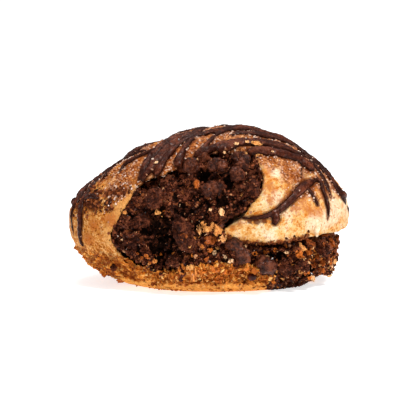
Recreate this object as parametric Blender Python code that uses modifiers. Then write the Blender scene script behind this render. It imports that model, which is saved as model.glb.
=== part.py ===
"""Chocolate rugelach: a domed roll of soft dough with piped chocolate strands over it,
closed round a crumbly chocolate filling that shows at the front and at the right end.

Metres, +Z up. The roll lies along X on its flat underside, with its open front at -Y.
"""

import math

import bmesh
import bpy
from mathutils import Matrix, Vector, noise

MM = 0.001

# The roll: how far the dough reaches from its peak, its heights, and the rounding underneath
PEAK_X = 3.0 * MM
REACH_LEFT = 40.2 * MM
REACH_RIGHT = 34.0 * MM
HALF_DEPTH = 24.8 * MM
BELLY_Z = 19.0 * MM
RISE = 21.4 * MM
FALL = 23.0 * MM
UNDER_ROUND = 2.6
HEEL_LIFT = 3.0 * MM
TOE_LIFT = 1.2 * MM
HEEL_X = -9.0 * MM
TOE_X = 16.0 * MM
FLAT_SNAP = 0.12 * MM

# The point that azimuths and altitudes of surface features are taken from
HEART = Vector((3.0, 0.0, 12.0)) * MM
HEART_TO_SKIN = 26.0 * MM

# The open front, as x and z seen from the front, in millimetres
FRONT_OPENING = (
    (-17.6, 27.6), (-11.0, 30.4), (-6.0, 32.6), (-1.5, 34.7), (4.3, 35.8), (10.6, 35.3),
    (13.2, 32.4), (13.8, 28.5), (12.4, 25.2), (9.4, 22.0), (5.2, 19.4), (3.4, 16.8), (5.6, 13.4),
    (9.0, 7.4), (3.0, 8.6), (-6.0, 6.7), (-13.0, 6.9), (-20.4, 9.1), (-24.9, 13.6), (-23.4, 18.8),
    (-20.2, 24.0),
)
OPENING_BACK_Y = -7.0 * MM
OPENING_HALF_DEPTH = 20.0 * MM

# The slab of filling between the upper and the base sheet: azimuth round the peak in degrees,
# then the lower and upper height of its rim in millimetres
SLAB_RIM = (
    (-180, 7.0, 13.0), (-110, 8.0, 14.0), (-78, 7.8, 14.2), (-63, 5.0, 14.0), (-54, 2.6, 14.4),
    (-46, 0.6, 15.2), (-30, 0.4, 15.8), (0, 0.5, 15.4), (18, 0.9, 14.4), (36, 3.4, 9.8),
    (58, 4.2, 7.6), (100, 4.6, 7.0), (135, 6.0, 8.0), (180, 7.0, 13.0),
)
SLAB_REACH_X = 32.3 * MM
SLAB_REACH_Y = 24.0 * MM
SLAB_ROUND = 4.4
SLAB_HEART = (6.0 * MM, 14.0 * MM)
SLAB_SHOWN = (-128, -100, 104, 134)
SLAB_HIDDEN_SHARE = 0.42
SLAB_RIM_SHARE = (0.45, 0.92)
SLAB_BEYOND = 9.0 * MM
SEAM_AZIMUTH = (8, 36)
SEAM_WAVE = 0.7 * MM
SEAM_WAVE_DEGREES = 17.0

# How proud of the dough the front mass stands, how deep the filling lies in the back seam,
# and how much smaller than its opening the mass is drawn
MASS_PROUD = 0.5 * MM
SEAM_INSET = 0.8 * MM
MASS_INSET = 0.4 * MM

# Crags of the filling, and the shadowed crevice under the crown's left edge
CRAG_SIZE = 4.6 * MM
CRAG_LUMP = 0.8 * MM
CRAG_CRACK = 1.4 * MM
CRAG_LIFT = 0.3 * MM
CRAG_DEPTH = (3.0 * MM, 1.2 * MM)
CRAG_FACING = (0.6, 0.9)
CREVICE_X = (-19.0 * MM, -2.0 * MM)
CREVICE_Z = 27.2 * MM
CREVICE_SLOPE = 0.45
CREVICE_WIDTH = 1.7 * MM
CREVICE_DEPTH = 1.5 * MM

# Clearance between dough and filling: at the edges, and how much more inside
GAP = 0.5 * MM
HIDDEN_GAP = 0.8 * MM
HIDDEN_DEPTH = (0.5 * MM, 3.0 * MM)

# Swellings of the dough: azimuth and altitude from the heart, how wide in degrees, how proud
SWELLS = (
    (-50, 36, 17, 1.5 * MM), (-58, 11, 9, 1.4 * MM), (-36, 13, 10, 1.3 * MM), (-8, 16, 14, 0.8 * MM),
    (-150, 24, 14, 0.7 * MM), (-120, 62, 16, 0.6 * MM), (100, 22, 18, 1.0 * MM), (150, 12, 16, 0.7 * MM),
    (55, 14, 14, 0.8 * MM),
)
UNEVEN_SIZE = 9.0 * MM
UNEVEN_HEIGHT = 0.35 * MM
SWELL_FROM_Z = (0.5 * MM, 4.0 * MM)

# The crease between the front lobe and the tongue under it, from the right to the left
CREASE = ((-27, 34), (-37, 29.5), (-46, 26), (-54, 21.5), (-63, 18.5), (-73, 17.8), (-84, 18))
CREASE_DEPTH = 2.4 * MM
CREASE_WIDTH = 1.9 * MM

# The torn, flaky band of the base sheet under the front opening
BAND_X = (-14.0 * MM, 19.0 * MM)
BAND_Y = (-8.0 * MM, -13.0 * MM)
BAND_Z = (7.0 * MM, 9.0 * MM)
BAND_RELIEF = 0.7 * MM
BAND_TEAR = 2.6 * MM

# Piped chocolate: width in millimetres, then azimuth and altitude along the strand
STRANDS = (
    ("heel", 2.4, ((-168, 5), (-175, 14), (177, 23), (158, 31), (135, 33), (112, 27), (98, 14))),
    ("shoulder", 3.0, ((-167, -1), (-164, 11), (-167, 20), (-170, 31), (-165, 42), (-155, 52),
                       (-163, 66), (130, 78), (84, 62), (74, 42), (70, 22))),
    ("wisp", 1.6, ((-161, 30), (-160, 38), (-156, 48))),
    ("left", 4.0, ((-141, 31), (-144, 41), (-150, 54), (-149, 66), (-130, 78), (62, 80), (56, 60),
                   (54, 40), (54, 22))),
    ("middle", 3.1, ((-123, 38), (-123, 53), (-122, 65), (-110, 76), (-30, 83), (26, 68), (36, 50),
                     (40, 32), (41, 20))),
    ("right", 2.8, ((-117, 53), (-108, 60), (-96, 69), (-56, 77), (-2, 72), (14, 57), (21, 42),
                    (25, 27), (26, 15))),
    ("crest", 3.1, ((-112, 56), (-80, 64), (-58, 69), (-28, 70), (-6, 62), (-3, 48), (-6, 34),
                    (-12, 26), (-10, 17))),
    ("brow", 3.3, ((-102, 58), (-74, 61), (-52, 62), (-30, 58), (-18, 47), (-17, 35), (-20, 21))),
    ("lobe", 2.9, ((-60, 56), (-45, 53), (-28, 45), (-21, 37), (-23, 28), (-26, 17), (-28, 9))),
    ("crease", 3.2, ((-29, 33),) + CREASE[1:-1] + ((-82, 18),)),
    ("fork", 1.9, ((-29, 33), (-26, 27), (-27, 19))),
    ("drip", 1.7, ((-35, 30), (-32, 25), (-32, 18))),
    ("tear", 1.7, ((-59, 20), (-58, 14.5))),
    ("blot", 3.8, ((-166, 15), (-160, 19), (-156, 19))),
    ("back", 2.8, ((-178, 36), (158, 48), (126, 52), (104, 40), (92, 22))),
    ("nape", 2.5, ((166, 12), (150, 20), (136, 22), (124, 15))),
)
STRAND_STEP = 3.0 * MM
STRAND_SINK = 0.17
STRAND_FLATTEN = 0.35
STRAND_TIP = 0.62
STRAND_UNEVEN = 0.14
STRAND_LOWEST = 2.0 * MM

# Chips and flakes on the filling's face: x and z seen from the front, then half the width,
# half the height and how proud, in millimetres
CHIPS = (
    (-3.0, 32.4, 2.3, 2.0, 1.7), (1.6, 33.2, 2.2, 2.0, 1.8), (7.4, 33.6, 2.6, 2.0, 1.8),
    (7.2, 30.0, 2.2, 1.9, 1.8), (0.9, 27.2, 3.1, 1.9, 1.4), (-13.4, 24.0, 2.4, 1.8, 1.3),
    (-6.4, 16.2, 2.2, 4.4, 1.2), (10.2, 26.4, 1.9, 1.8, 1.4), (-19.5, 14.0, 2.2, 1.7, 1.4),
    (7.0, 11.6, 2.9, 1.7, 1.6), (14.6, 8.2, 2.5, 1.9, 1.6), (24.0, 7.0, 1.9, 1.7, 1.4),
    (-9.0, 9.6, 2.0, 1.5, 1.4), (30.5, 10.5, 2.0, 1.6, 1.2),
    (-0.6, 16.6, 2.4, 1.1, 0.8), (2.0, 13.4, 1.0, 1.8, 0.9), (22.6, 11.6, 1.1, 1.9, 0.9),
)
CHIP_UNEVEN = 0.16

# Fineness of the surfaces: voxel size, rounds of smoothing and number of triangles
FILLING_VOXEL = 0.8 * MM
FILLING_ROUNDS = 3
FILLING_TRIS = 3600
CLEARANCE_VOXEL = 0.7 * MM
DOUGH_VOXEL = 0.65 * MM
DOUGH_ROUNDS = 5
DOUGH_TRIS = 4500


def clear_scene():
    """Remove every object that the file opened with."""
    for thing in list(bpy.data.objects):
        bpy.data.objects.remove(thing, do_unlink=True)


def new_collection(name):
    """Add a collection to the scene."""
    group = bpy.data.collections.new(name)
    bpy.context.scene.collection.children.link(group)
    return group


def ease(start, end, value):
    """Go smoothly from 0 at start to 1 at end, which may be the smaller number."""
    t = min(1.0, max(0.0, (value - start) / (end - start)))
    return t * t * (3.0 - 2.0 * t)


def heading(azimuth, altitude):
    """The unit vector at an azimuth and altitude in degrees."""
    a = math.radians(azimuth)
    b = math.radians(altitude)
    return Vector((math.cos(b) * math.cos(a), math.cos(b) * math.sin(a), math.sin(b)))


def wrinkle(point, size, seed):
    """Smooth noise from -1 to 1 with features of the given size."""
    return noise.noise(point / size + Vector((seed, 2.0 * seed, -seed)))


def from_bmesh(name, bm, group):
    """Put a bmesh in a new object."""
    mesh = bpy.data.meshes.new(name)
    bm.to_mesh(mesh)
    bm.free()
    thing = bpy.data.objects.new(name, mesh)
    group.objects.link(thing)
    return thing


def mapped_ball(name, place, level, group):
    """A closed form: each point of a unit ball is moved to where place puts its direction."""
    bm = bmesh.new()
    bmesh.ops.create_icosphere(bm, subdivisions=level, radius=1.0)
    for vert in bm.verts:
        vert.co = place(vert.co.copy())
    return from_bmesh(name, bm, group)


def curve_to_mesh(thing, group):
    """Swap a curve for the closed mesh of its own shape, placed by its own matrix."""
    bpy.context.view_layer.update()
    evaluated = thing.evaluated_get(bpy.context.evaluated_depsgraph_get())
    mesh = bpy.data.meshes.new_from_object(evaluated)
    bm = bmesh.new()
    bm.from_mesh(mesh)
    bmesh.ops.remove_doubles(bm, verts=bm.verts, dist=0.00001)
    bmesh.ops.recalc_face_normals(bm, faces=bm.faces)
    bm.to_mesh(mesh)
    bm.free()
    solid = bpy.data.objects.new(thing.name + "_solid", mesh)
    solid.matrix_world = thing.matrix_world.copy()
    group.objects.link(solid)
    bpy.data.objects.remove(thing, do_unlink=True)
    return solid


def apply_modifiers(thing):
    """Replace an object's mesh by what its modifiers make of it, with its place in it."""
    bpy.context.view_layer.update()
    evaluated = thing.evaluated_get(bpy.context.evaluated_depsgraph_get())
    mesh = bpy.data.meshes.new_from_object(evaluated)
    mesh.transform(thing.matrix_world)
    thing.modifiers.clear()
    thing.data = mesh
    thing.matrix_world = Matrix.Identity(4)


def boolean(thing, other, operation):
    """Cut or join with another object and keep the result."""
    mod = thing.modifiers.new(operation.lower(), "BOOLEAN")
    mod.operation = operation
    mod.object = other
    mod.solver = "EXACT"
    apply_modifiers(thing)


def fuse(thing, group):
    """Join every object of a collection to one, and remove them."""
    mod = thing.modifiers.new("fuse", "BOOLEAN")
    mod.operation = "UNION"
    mod.operand_type = "COLLECTION"
    mod.collection = group
    mod.solver = "MANIFOLD"
    apply_modifiers(thing)
    for extra in list(group.objects):
        bpy.data.objects.remove(extra, do_unlink=True)


def soften(thing, voxel, rounds):
    """Remake the surface in even quads and round its edges."""
    remesh = thing.modifiers.new("remesh", "REMESH")
    remesh.mode = "VOXEL"
    remesh.voxel_size = voxel
    round_off = thing.modifiers.new("smooth", "SMOOTH")
    round_off.factor = 0.5
    round_off.iterations = rounds
    apply_modifiers(thing)


def push(thing, offset):
    """Move each vertex along its normal by what offset says for its place and normal."""
    bm = bmesh.new()
    bm.from_mesh(thing.data)
    bm.normal_update()
    moves = [offset(vert.co, vert.normal) for vert in bm.verts]
    for vert, move in zip(bm.verts, moves):
        vert.co += vert.normal * move
    bm.to_mesh(thing.data)
    bm.free()


def thin_out(thing, triangles):
    """Reduce a mesh to about so many triangles."""
    bm = bmesh.new()
    bm.from_mesh(thing.data)
    bmesh.ops.triangulate(bm, faces=bm.faces)
    count = len(bm.faces)
    bm.to_mesh(thing.data)
    bm.free()
    mod = thing.modifiers.new("decimate", "DECIMATE")
    mod.ratio = min(1.0, triangles / count)
    apply_modifiers(thing)


def connected(seed, left):
    """Take from left the vertices that hang together with seed, and return them."""
    island = {seed}
    stack = [seed]
    while stack:
        for edge in stack.pop().link_edges:
            for vert in edge.verts:
                if vert in left:
                    left.discard(vert)
                    island.add(vert)
                    stack.append(vert)
    return island


def largest_piece(thing):
    """Keep the mesh's largest connected body, and drop loose scraps and sealed hollows."""
    bm = bmesh.new()
    bm.from_mesh(thing.data)
    left = set(bm.verts)
    best = set()
    while left:
        island = connected(left.pop(), left)
        best = max(best, island, key=len)
    bmesh.ops.delete(bm, geom=[vert for vert in bm.verts if vert not in best], context="VERTS")
    bm.to_mesh(thing.data)
    bm.free()


def underside(x):
    """Height of the underside: flat in the middle, a little lifted at both ends."""
    heel = HEEL_LIFT * ease(HEEL_X, -REACH_LEFT, x)
    toe = TOE_LIFT * ease(TOE_X, PEAK_X + REACH_RIGHT, x)
    return heel + toe


def slope_power(x, y):
    """How the upper half falls away towards a side: round in front, sloping to the left end."""
    side = x / (math.hypot(x, y) or 1e-9)
    return 1.1 + 0.7 * max(0.0, -side) ** 1.5 + 0.1 * max(0.0, side) ** 1.5


def dome_point(ray, inset=0.0):
    """The roll's plain outer surface in a direction, optionally a little inside it."""
    flat = math.hypot(ray.x, ray.y) or 1e-9
    if ray.z >= 0:
        z = BELLY_Z + (RISE - inset) * ray.z ** slope_power(ray.x, ray.y)
        spread = 1.0
    else:
        z = BELLY_Z - (FALL - inset) * (-ray.z) ** (2.0 / UNDER_ROUND)
        spread = flat ** (2.0 / UNDER_ROUND - 1.0)
    reach = REACH_RIGHT if ray.x > 0 else REACH_LEFT
    x = PEAK_X + (reach - inset) * ray.x * spread
    y = (HALF_DEPTH - inset) * ray.y * spread
    return Vector((x, y, max(z, underside(x) + inset)))


def dome_depth(place):
    """How deep a place lies under the roll's plain surface, and the way out."""
    reach = REACH_RIGHT if place.x > PEAK_X else REACH_LEFT
    x = (place.x - PEAK_X) / reach
    y = place.y / HALF_DEPTH
    if place.z > BELLY_Z:
        tall, power = RISE, 2.0
        z = ((place.z - BELLY_Z) / RISE) ** (1.0 / slope_power(x, y))
    else:
        tall, power = FALL, UNDER_ROUND
        z = (place.z - BELLY_Z) / FALL
    level = (math.hypot(x, y) ** power + abs(z) ** power) ** (1.0 / power)
    return (1.0 - level) * HALF_DEPTH, Vector((x / reach, y / HALF_DEPTH, z / tall)).normalized()


def rim_heights(azimuth):
    """The slab's lower and upper height at an azimuth, wavy along the back seam."""
    wave = SEAM_WAVE * noise.noise(Vector((azimuth / SEAM_WAVE_DEGREES, 0.0, 5.0)))
    wave *= ease(*SEAM_AZIMUTH, azimuth)
    for (a0, low0, high0), (a1, low1, high1) in zip(SLAB_RIM, SLAB_RIM[1:]):
        if a0 <= azimuth <= a1:
            t = ease(a0, a1, azimuth)
            break
    return (low0 + (low1 - low0) * t) * MM + wave, (high0 + (high1 - high0) * t) * MM + 1.4 * wave


def slab_point(ray, grow=0.0):
    """The slab of filling: a thick disc that is low and open at the right end."""
    flat = math.hypot(ray.x, ray.y) or 1e-9
    azimuth = math.degrees(math.atan2(ray.y, ray.x))
    shown = ease(*SLAB_SHOWN[:2], azimuth) * (1.0 - ease(*SLAB_SHOWN[2:], azimuth))
    out = flat ** (2.0 / SLAB_ROUND) * (SLAB_HIDDEN_SHARE + (1.0 - SLAB_HIDDEN_SHARE) * shown)
    x = (SLAB_REACH_X + grow) * out * ray.x / flat
    y = (SLAB_REACH_Y + grow) * out * ray.y / flat
    low, high = rim_heights(azimuth)
    at_rim = ease(*SLAB_RIM_SHARE, out)
    low = SLAB_HEART[0] + (low - SLAB_HEART[0]) * at_rim
    high = SLAB_HEART[1] + (high - SLAB_HEART[1]) * at_rim
    rise = math.copysign(abs(ray.z) ** (2.0 / SLAB_ROUND), ray.z)
    return Vector((PEAK_X + x, y, 0.5 * (low + high) + 0.5 * (high - low) * rise))


def seam_point(ray):
    """The slab, carried on behind until it reaches past the dough."""
    azimuth = math.degrees(math.atan2(ray.y, ray.x))
    return slab_point(ray, SLAB_BEYOND * ease(*SEAM_AZIMUTH, azimuth))


def mass_point(ray):
    """The face of the filling: a little proud of the dough in front, a little inside it behind."""
    front = ease(-0.1, -0.5, ray.y)
    return dome_point(ray, SEAM_INSET - (SEAM_INSET + MASS_PROUD) * front)


def opening_prism(name, inset, group):
    """The front opening's outline, drawn in by inset, as a block from the front into the roll."""
    curve = bpy.data.curves.new(name, "CURVE")
    curve.dimensions = "2D"
    curve.fill_mode = "BOTH"
    curve.extrude = OPENING_HALF_DEPTH
    curve.offset = -inset
    curve.resolution_u = 4
    spline = curve.splines.new("BEZIER")
    spline.bezier_points.add(len(FRONT_OPENING) - 1)
    spline.use_cyclic_u = True
    for point, (x, z) in zip(spline.bezier_points, FRONT_OPENING):
        point.co = (x * MM, z * MM, 0.0)
        point.handle_left_type = "AUTO"
        point.handle_right_type = "AUTO"
    thing = bpy.data.objects.new(name, curve)
    group.objects.link(thing)
    thing.rotation_euler = (math.radians(90), 0.0, 0.0)
    thing.location = (0.0, OPENING_BACK_Y - OPENING_HALF_DEPTH, 0.0)
    return curve_to_mesh(thing, group)


def filling_form(group, cutters):
    """The filling's form: the mass in the front opening, the slab and the seam behind, as one."""
    mass = mapped_ball("filling", mass_point, 6, group)
    shown = opening_prism("mass_outline", MASS_INSET, cutters)
    boolean(shown, mapped_ball("seam", seam_point, 5, cutters), "UNION")
    boolean(mass, shown, "INTERSECT")
    boolean(mass, mapped_ball("slab", slab_point, 5, cutters), "UNION")
    soften(mass, FILLING_VOXEL, FILLING_ROUNDS)
    largest_piece(mass)
    return mass


def crevice(place):
    """How much a place belongs to the crevice under the crown's left edge, from 0 to 1."""
    along = ease(CREVICE_X[0], CREVICE_X[0] + 3 * MM, place.x)
    along *= ease(CREVICE_X[1], CREVICE_X[1] - 5 * MM, place.x)
    off = place.z - (CREVICE_Z + CREVICE_SLOPE * (place.x - CREVICE_X[0]))
    return along * math.exp(-((off / CREVICE_WIDTH) ** 2))


def crag(place, normal):
    """Relief of the crumbly filling where it shows: lumps with cracks between them."""
    depth, out = dome_depth(place)
    shown = ease(*CRAG_DEPTH, depth) * ease(*CRAG_FACING, normal.dot(out))
    lump = wrinkle(place, CRAG_SIZE, 11)
    cells = noise.voronoi(place / CRAG_SIZE)[0]
    crack = 1.0 - min(1.0, (cells[1] - cells[0]) * 2.0)
    relief = CRAG_LIFT + CRAG_LUMP * lump - CRAG_CRACK * crack - CREVICE_DEPTH * crevice(place)
    return shown * relief


def chip(name, x, z, half_sizes, core, group):
    """A chip of chocolate half sunk in the filling's face at x and z, seen from the front."""
    start = Vector((x * MM, -80 * MM, z * MM))
    found, place, normal, _ = core.ray_cast(start, Vector((0, 1, 0)))
    if not found:
        raise ValueError(name + " misses the filling")
    bm = bmesh.new()
    bmesh.ops.create_icosphere(bm, subdivisions=2, radius=1.0)
    for vert in bm.verts:
        vert.co *= 1.0 + CHIP_UNEVEN * wrinkle(vert.co, 0.9, x)
        vert.co = Vector([along * half * MM for along, half in zip(vert.co, half_sizes)])
    turn = Vector((0, 0, 1)).rotation_difference(normal).to_matrix().to_4x4()
    bm.transform(Matrix.Translation(place) @ turn)
    return from_bmesh(name, bm, group)


def make_filling(group, cutters, toppings):
    """The chocolate filling with its crags and chips."""
    filling = filling_form(group, cutters)
    push(filling, crag)
    thin_out(filling, FILLING_TRIS)
    for k, (x, z, *half_sizes) in enumerate(CHIPS):
        chip(f"chip_{k}", x, z, half_sizes, filling, toppings)
    fuse(filling, toppings)
    return filling


def smooth_path(stops, step):
    """Unit directions along a smooth curve through azimuth and altitude stops."""
    rays = [heading(a, b) for a, b in stops]
    rays = [2 * rays[0] - rays[1]] + rays + [2 * rays[-1] - rays[-2]]
    path = []
    for p0, p1, p2, p3 in zip(rays, rays[1:], rays[2:], rays[3:]):
        count = max(2, round((p2 - p1).length * HEART_TO_SKIN / step))
        for k in range(count):
            t = k / count
            bend = (2 * p0 - 5 * p1 + 4 * p2 - p3) * t**2 + (3 * p1 - p0 - 3 * p2 + p3) * t**3
            path.append(0.5 * (2 * p1 + (p2 - p0) * t + bend))
    path.append(rays[-2].copy())
    return [ray.normalized() for ray in path]


def surface_point(thing, ray):
    """Where a line from outside towards the heart first meets the surface."""
    found, place, _, _ = thing.ray_cast(HEART + ray * 80 * MM, -ray)
    if not found:
        raise ValueError("no surface along the ray")
    return place


def band_share(place):
    """How much a place belongs to the torn band under the front opening, from 0 to 1."""
    share = ease(BAND_X[0], BAND_X[0] + 5 * MM, place.x)
    share *= ease(BAND_X[1], BAND_X[1] - 3 * MM, place.x)
    return share * ease(*BAND_Y, place.y) * (1.0 - ease(*BAND_Z, place.z))


def torn(place):
    """Relief of torn, flaky dough: short ledges that run along X."""
    stretched = Vector((place.x * 0.45, place.y, place.z * 1.3))
    return 1.0 - 3.0 * abs(wrinkle(stretched, BAND_TEAR, 5))


def dough_form(group):
    """The dough: the roll with its swellings, its crease and its torn band."""
    roll = mapped_ball("pastry", dome_point, 6, group)
    crease = smooth_path(CREASE, 0.8 * MM)

    def swell(place, _normal):
        ray = (place - HEART).normalized()
        rise = UNEVEN_HEIGHT * wrinkle(place, UNEVEN_SIZE, 3) + BAND_RELIEF * band_share(place) * torn(place)
        for azimuth, altitude, wide, proud in SWELLS:
            angle = math.degrees(ray.angle(heading(azimuth, altitude)))
            rise += proud * math.exp(-((angle / wide) ** 2))
        away = min(ray.angle(stop) for stop in crease) * HEART_TO_SKIN
        rise -= CREASE_DEPTH * math.exp(-((away / CREASE_WIDTH) ** 2))
        return rise * ease(*SWELL_FROM_Z, place.z)

    push(roll, swell)
    return roll


def filling_room(filling, cutters):
    """What is cut from the dough: the front opening, the slab out to the air, and a clearance."""
    opening = opening_prism("front_opening", 0.0, cutters)
    slab = mapped_ball("slab_room", lambda ray: slab_point(ray, SLAB_BEYOND), 5, cutters)
    clearance = filling.copy()
    clearance.data = filling.data.copy()
    cutters.objects.link(clearance)
    soften(clearance, CLEARANCE_VOXEL, 1)
    push(clearance, lambda place, _: GAP + HIDDEN_GAP * ease(*HIDDEN_DEPTH, dome_depth(place)[0]))
    return opening, slab, clearance


def strand_tube(name, width, laid, group):
    """A round tube along the places that a strand is laid on, thinner at its ends."""
    curve = bpy.data.curves.new(name, "CURVE")
    curve.dimensions = "3D"
    curve.bevel_depth = 0.5 * width
    curve.bevel_resolution = 1
    curve.use_fill_caps = True
    spline = curve.splines.new("POLY")
    last = len(laid) - 1
    spline.points.add(last)
    spine = []
    for k, (ray, place) in enumerate(laid):
        share = STRAND_TIP + (1.0 - STRAND_TIP) * ease(0, 2, min(k, last - k))
        share *= 1.0 + STRAND_UNEVEN * wrinkle(place, 5 * MM, 7)
        spine.append((place - ray * STRAND_SINK * width * share, ray))
        spline.points[k].co = (*spine[k][0], 1.0)
        spline.points[k].radius = share
    tube = bpy.data.objects.new(name, curve)
    group.objects.link(tube)
    return curve_to_mesh(tube, group), spine


def strand(name, width, stops, base, group):
    """A strand of piped chocolate on the dough, round above and flattened below."""
    laid = [(ray, surface_point(base, ray)) for ray in smooth_path(stops, STRAND_STEP)]
    laid = [(ray, place) for ray, place in laid if dome_depth(place)[0] < STRAND_LOWEST]
    tube, spine = strand_tube(name, width * MM, laid, group)
    for vert in tube.data.vertices:
        centre, ray = min(spine, key=lambda stop: (stop[0] - vert.co).length)
        below = (centre - vert.co).dot(ray)
        if below > 0:
            vert.co += ray * below * (1.0 - STRAND_FLATTEN)


def level_base(thing):
    """Make the flat of the underside truly flat."""
    for vert in thing.data.vertices:
        if vert.co.z < FLAT_SNAP:
            vert.co.z = 0.0


def make_pastry(filling, group, cutters, toppings):
    """The dough round the filling, with the piped chocolate on it."""
    pastry = dough_form(group)
    for cutter in filling_room(filling, cutters):
        cutter.hide_render = True
        cutter.display_type = "WIRE"
        boolean(pastry, cutter, "DIFFERENCE")
    soften(pastry, DOUGH_VOXEL, DOUGH_ROUNDS)
    largest_piece(pastry)
    thin_out(pastry, DOUGH_TRIS)
    level_base(pastry)
    for name, width, stops in STRANDS:
        strand(name, width, stops, pastry, toppings)
    fuse(pastry, toppings)
    return pastry


def paint(thing, name, colour, roughness):
    """Give an object its own material."""
    material = bpy.data.materials.new(name)
    material.use_nodes = True
    shader = material.node_tree.nodes["Principled BSDF"]
    shader.inputs["Base Color"].default_value = (*colour, 1.0)
    shader.inputs["Roughness"].default_value = roughness
    shader.inputs["Metallic"].default_value = 0.0
    thing.data.materials.clear()
    thing.data.materials.append(material)


def main():
    clear_scene()
    part = new_collection("chocolate_rugelach")
    cutters = new_collection("cutters")
    toppings = new_collection("toppings")

    filling = make_filling(part, cutters, toppings)
    pastry = make_pastry(filling, part, cutters, toppings)
    paint(pastry, "baked_dough", (0.55, 0.28, 0.10), 0.6)
    paint(filling, "chocolate_filling", (0.06, 0.022, 0.012), 0.65)

    for cutter in list(cutters.objects):
        bpy.data.objects.remove(cutter, do_unlink=True)


main()
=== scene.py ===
"""Looks of the chocolate rugelach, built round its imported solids: baked dough, piped chocolate,
a crumbly filling with chips, and loose crumbs, flakes and sugar."""

import math

import bpy
import numpy as np
from mathutils import Matrix, Vector, noise
from mathutils.bvhtree import BVHTree
from mathutils.kdtree import KDTree


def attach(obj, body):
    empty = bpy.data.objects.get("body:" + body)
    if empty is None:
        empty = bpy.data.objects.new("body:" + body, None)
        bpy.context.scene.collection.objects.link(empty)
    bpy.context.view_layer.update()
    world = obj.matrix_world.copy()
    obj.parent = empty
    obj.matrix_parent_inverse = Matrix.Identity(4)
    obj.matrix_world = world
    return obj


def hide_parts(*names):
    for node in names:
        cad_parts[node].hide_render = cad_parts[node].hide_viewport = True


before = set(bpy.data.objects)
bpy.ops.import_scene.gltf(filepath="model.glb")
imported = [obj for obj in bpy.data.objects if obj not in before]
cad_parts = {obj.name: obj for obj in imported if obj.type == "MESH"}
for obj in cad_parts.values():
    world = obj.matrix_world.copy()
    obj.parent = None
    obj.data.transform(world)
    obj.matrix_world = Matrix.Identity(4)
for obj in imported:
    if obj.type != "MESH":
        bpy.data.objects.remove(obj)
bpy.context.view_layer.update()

MM = 0.001
SCENE = bpy.context.scene
DOUGH_SLOT = "baked_dough"
FILLING_SLOT = "chocolate_filling"

# Places named by azimuth and altitude are seen from here, as in the part's source
HEART = Vector((3.0, 0.0, 12.0)) * MM
HEART_TO_SKIN = 26.0 * MM

# A distance that is clear of the part, and about where the filling's face lies, in millimetres
FAR_OUT = 80
FACE_DEPTH = -18.0

# Fineness of the surfaces, and the share of faces that stays where they can't be seen
DOUGH_VOXEL = 0.41 * MM
FILLING_VOXEL = 0.27 * MM
STRAND_VOXEL = 0.3 * MM
HIDDEN_SHARE = 0.03
MERGE_WITHIN = 0.00001

# Low ridges that the solid has for the piped chocolate: width in millimetres, then the course
RIDGES = (
    (2.3, ((-168, 5), (-175, 14), (177, 23), (158, 31), (135, 33), (112, 27), (98, 14))),
    (2.8, (
        (-167, -1), (-164, 11), (-167, 20), (-170, 31), (-165, 42), (-155, 52), (-163, 66),
        (130, 78), (84, 62), (74, 42), (70, 22),
    )),
    (1.5, ((-161, 30), (-160, 38), (-156, 48))),
    (4.6, (
        (-141, 31), (-144, 41), (-150, 54), (-149, 66), (-130, 78), (62, 80), (56, 60), (54, 40),
        (54, 22),
    )),
    (3.1, (
        (-123, 38), (-123, 53), (-122, 65), (-110, 76), (-30, 83), (26, 68), (36, 50), (40, 32),
        (41, 20),
    )),
    (2.8, (
        (-117, 53), (-108, 60), (-96, 69), (-56, 77), (-2, 72), (14, 57), (21, 42), (25, 27),
        (26, 15),
    )),
    (3.3, (
        (-112, 56), (-80, 64), (-58, 69), (-28, 70), (-6, 62), (-3, 48), (-6, 34), (-12, 26),
        (-10, 17),
    )),
    (3.4, ((-102, 58), (-74, 61), (-52, 62), (-30, 58), (-18, 47), (-17, 35), (-20, 21))),
    (3.0, ((-60, 56), (-45, 53), (-28, 45), (-21, 37), (-23, 28), (-26, 17), (-28, 9))),
    (3.0, ((-29, 33), (-37, 29.5), (-46, 26), (-54, 21.5), (-63, 18.5), (-73, 17.8), (-82, 18))),
    (1.8, ((-29, 33), (-26, 27), (-27, 19))),
    (1.6, ((-35, 30), (-32, 25), (-32, 18))),
    (1.7, ((-59, 20), (-58, 14.5))),
    (3.8, ((-166, 15), (-160, 19), (-156, 19))),
    (2.8, ((-178, 36), (158, 48), (126, 52), (104, 40), (92, 22))),
    (2.5, ((166, 12), (150, 20), (136, 22), (124, 15))),
)

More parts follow.
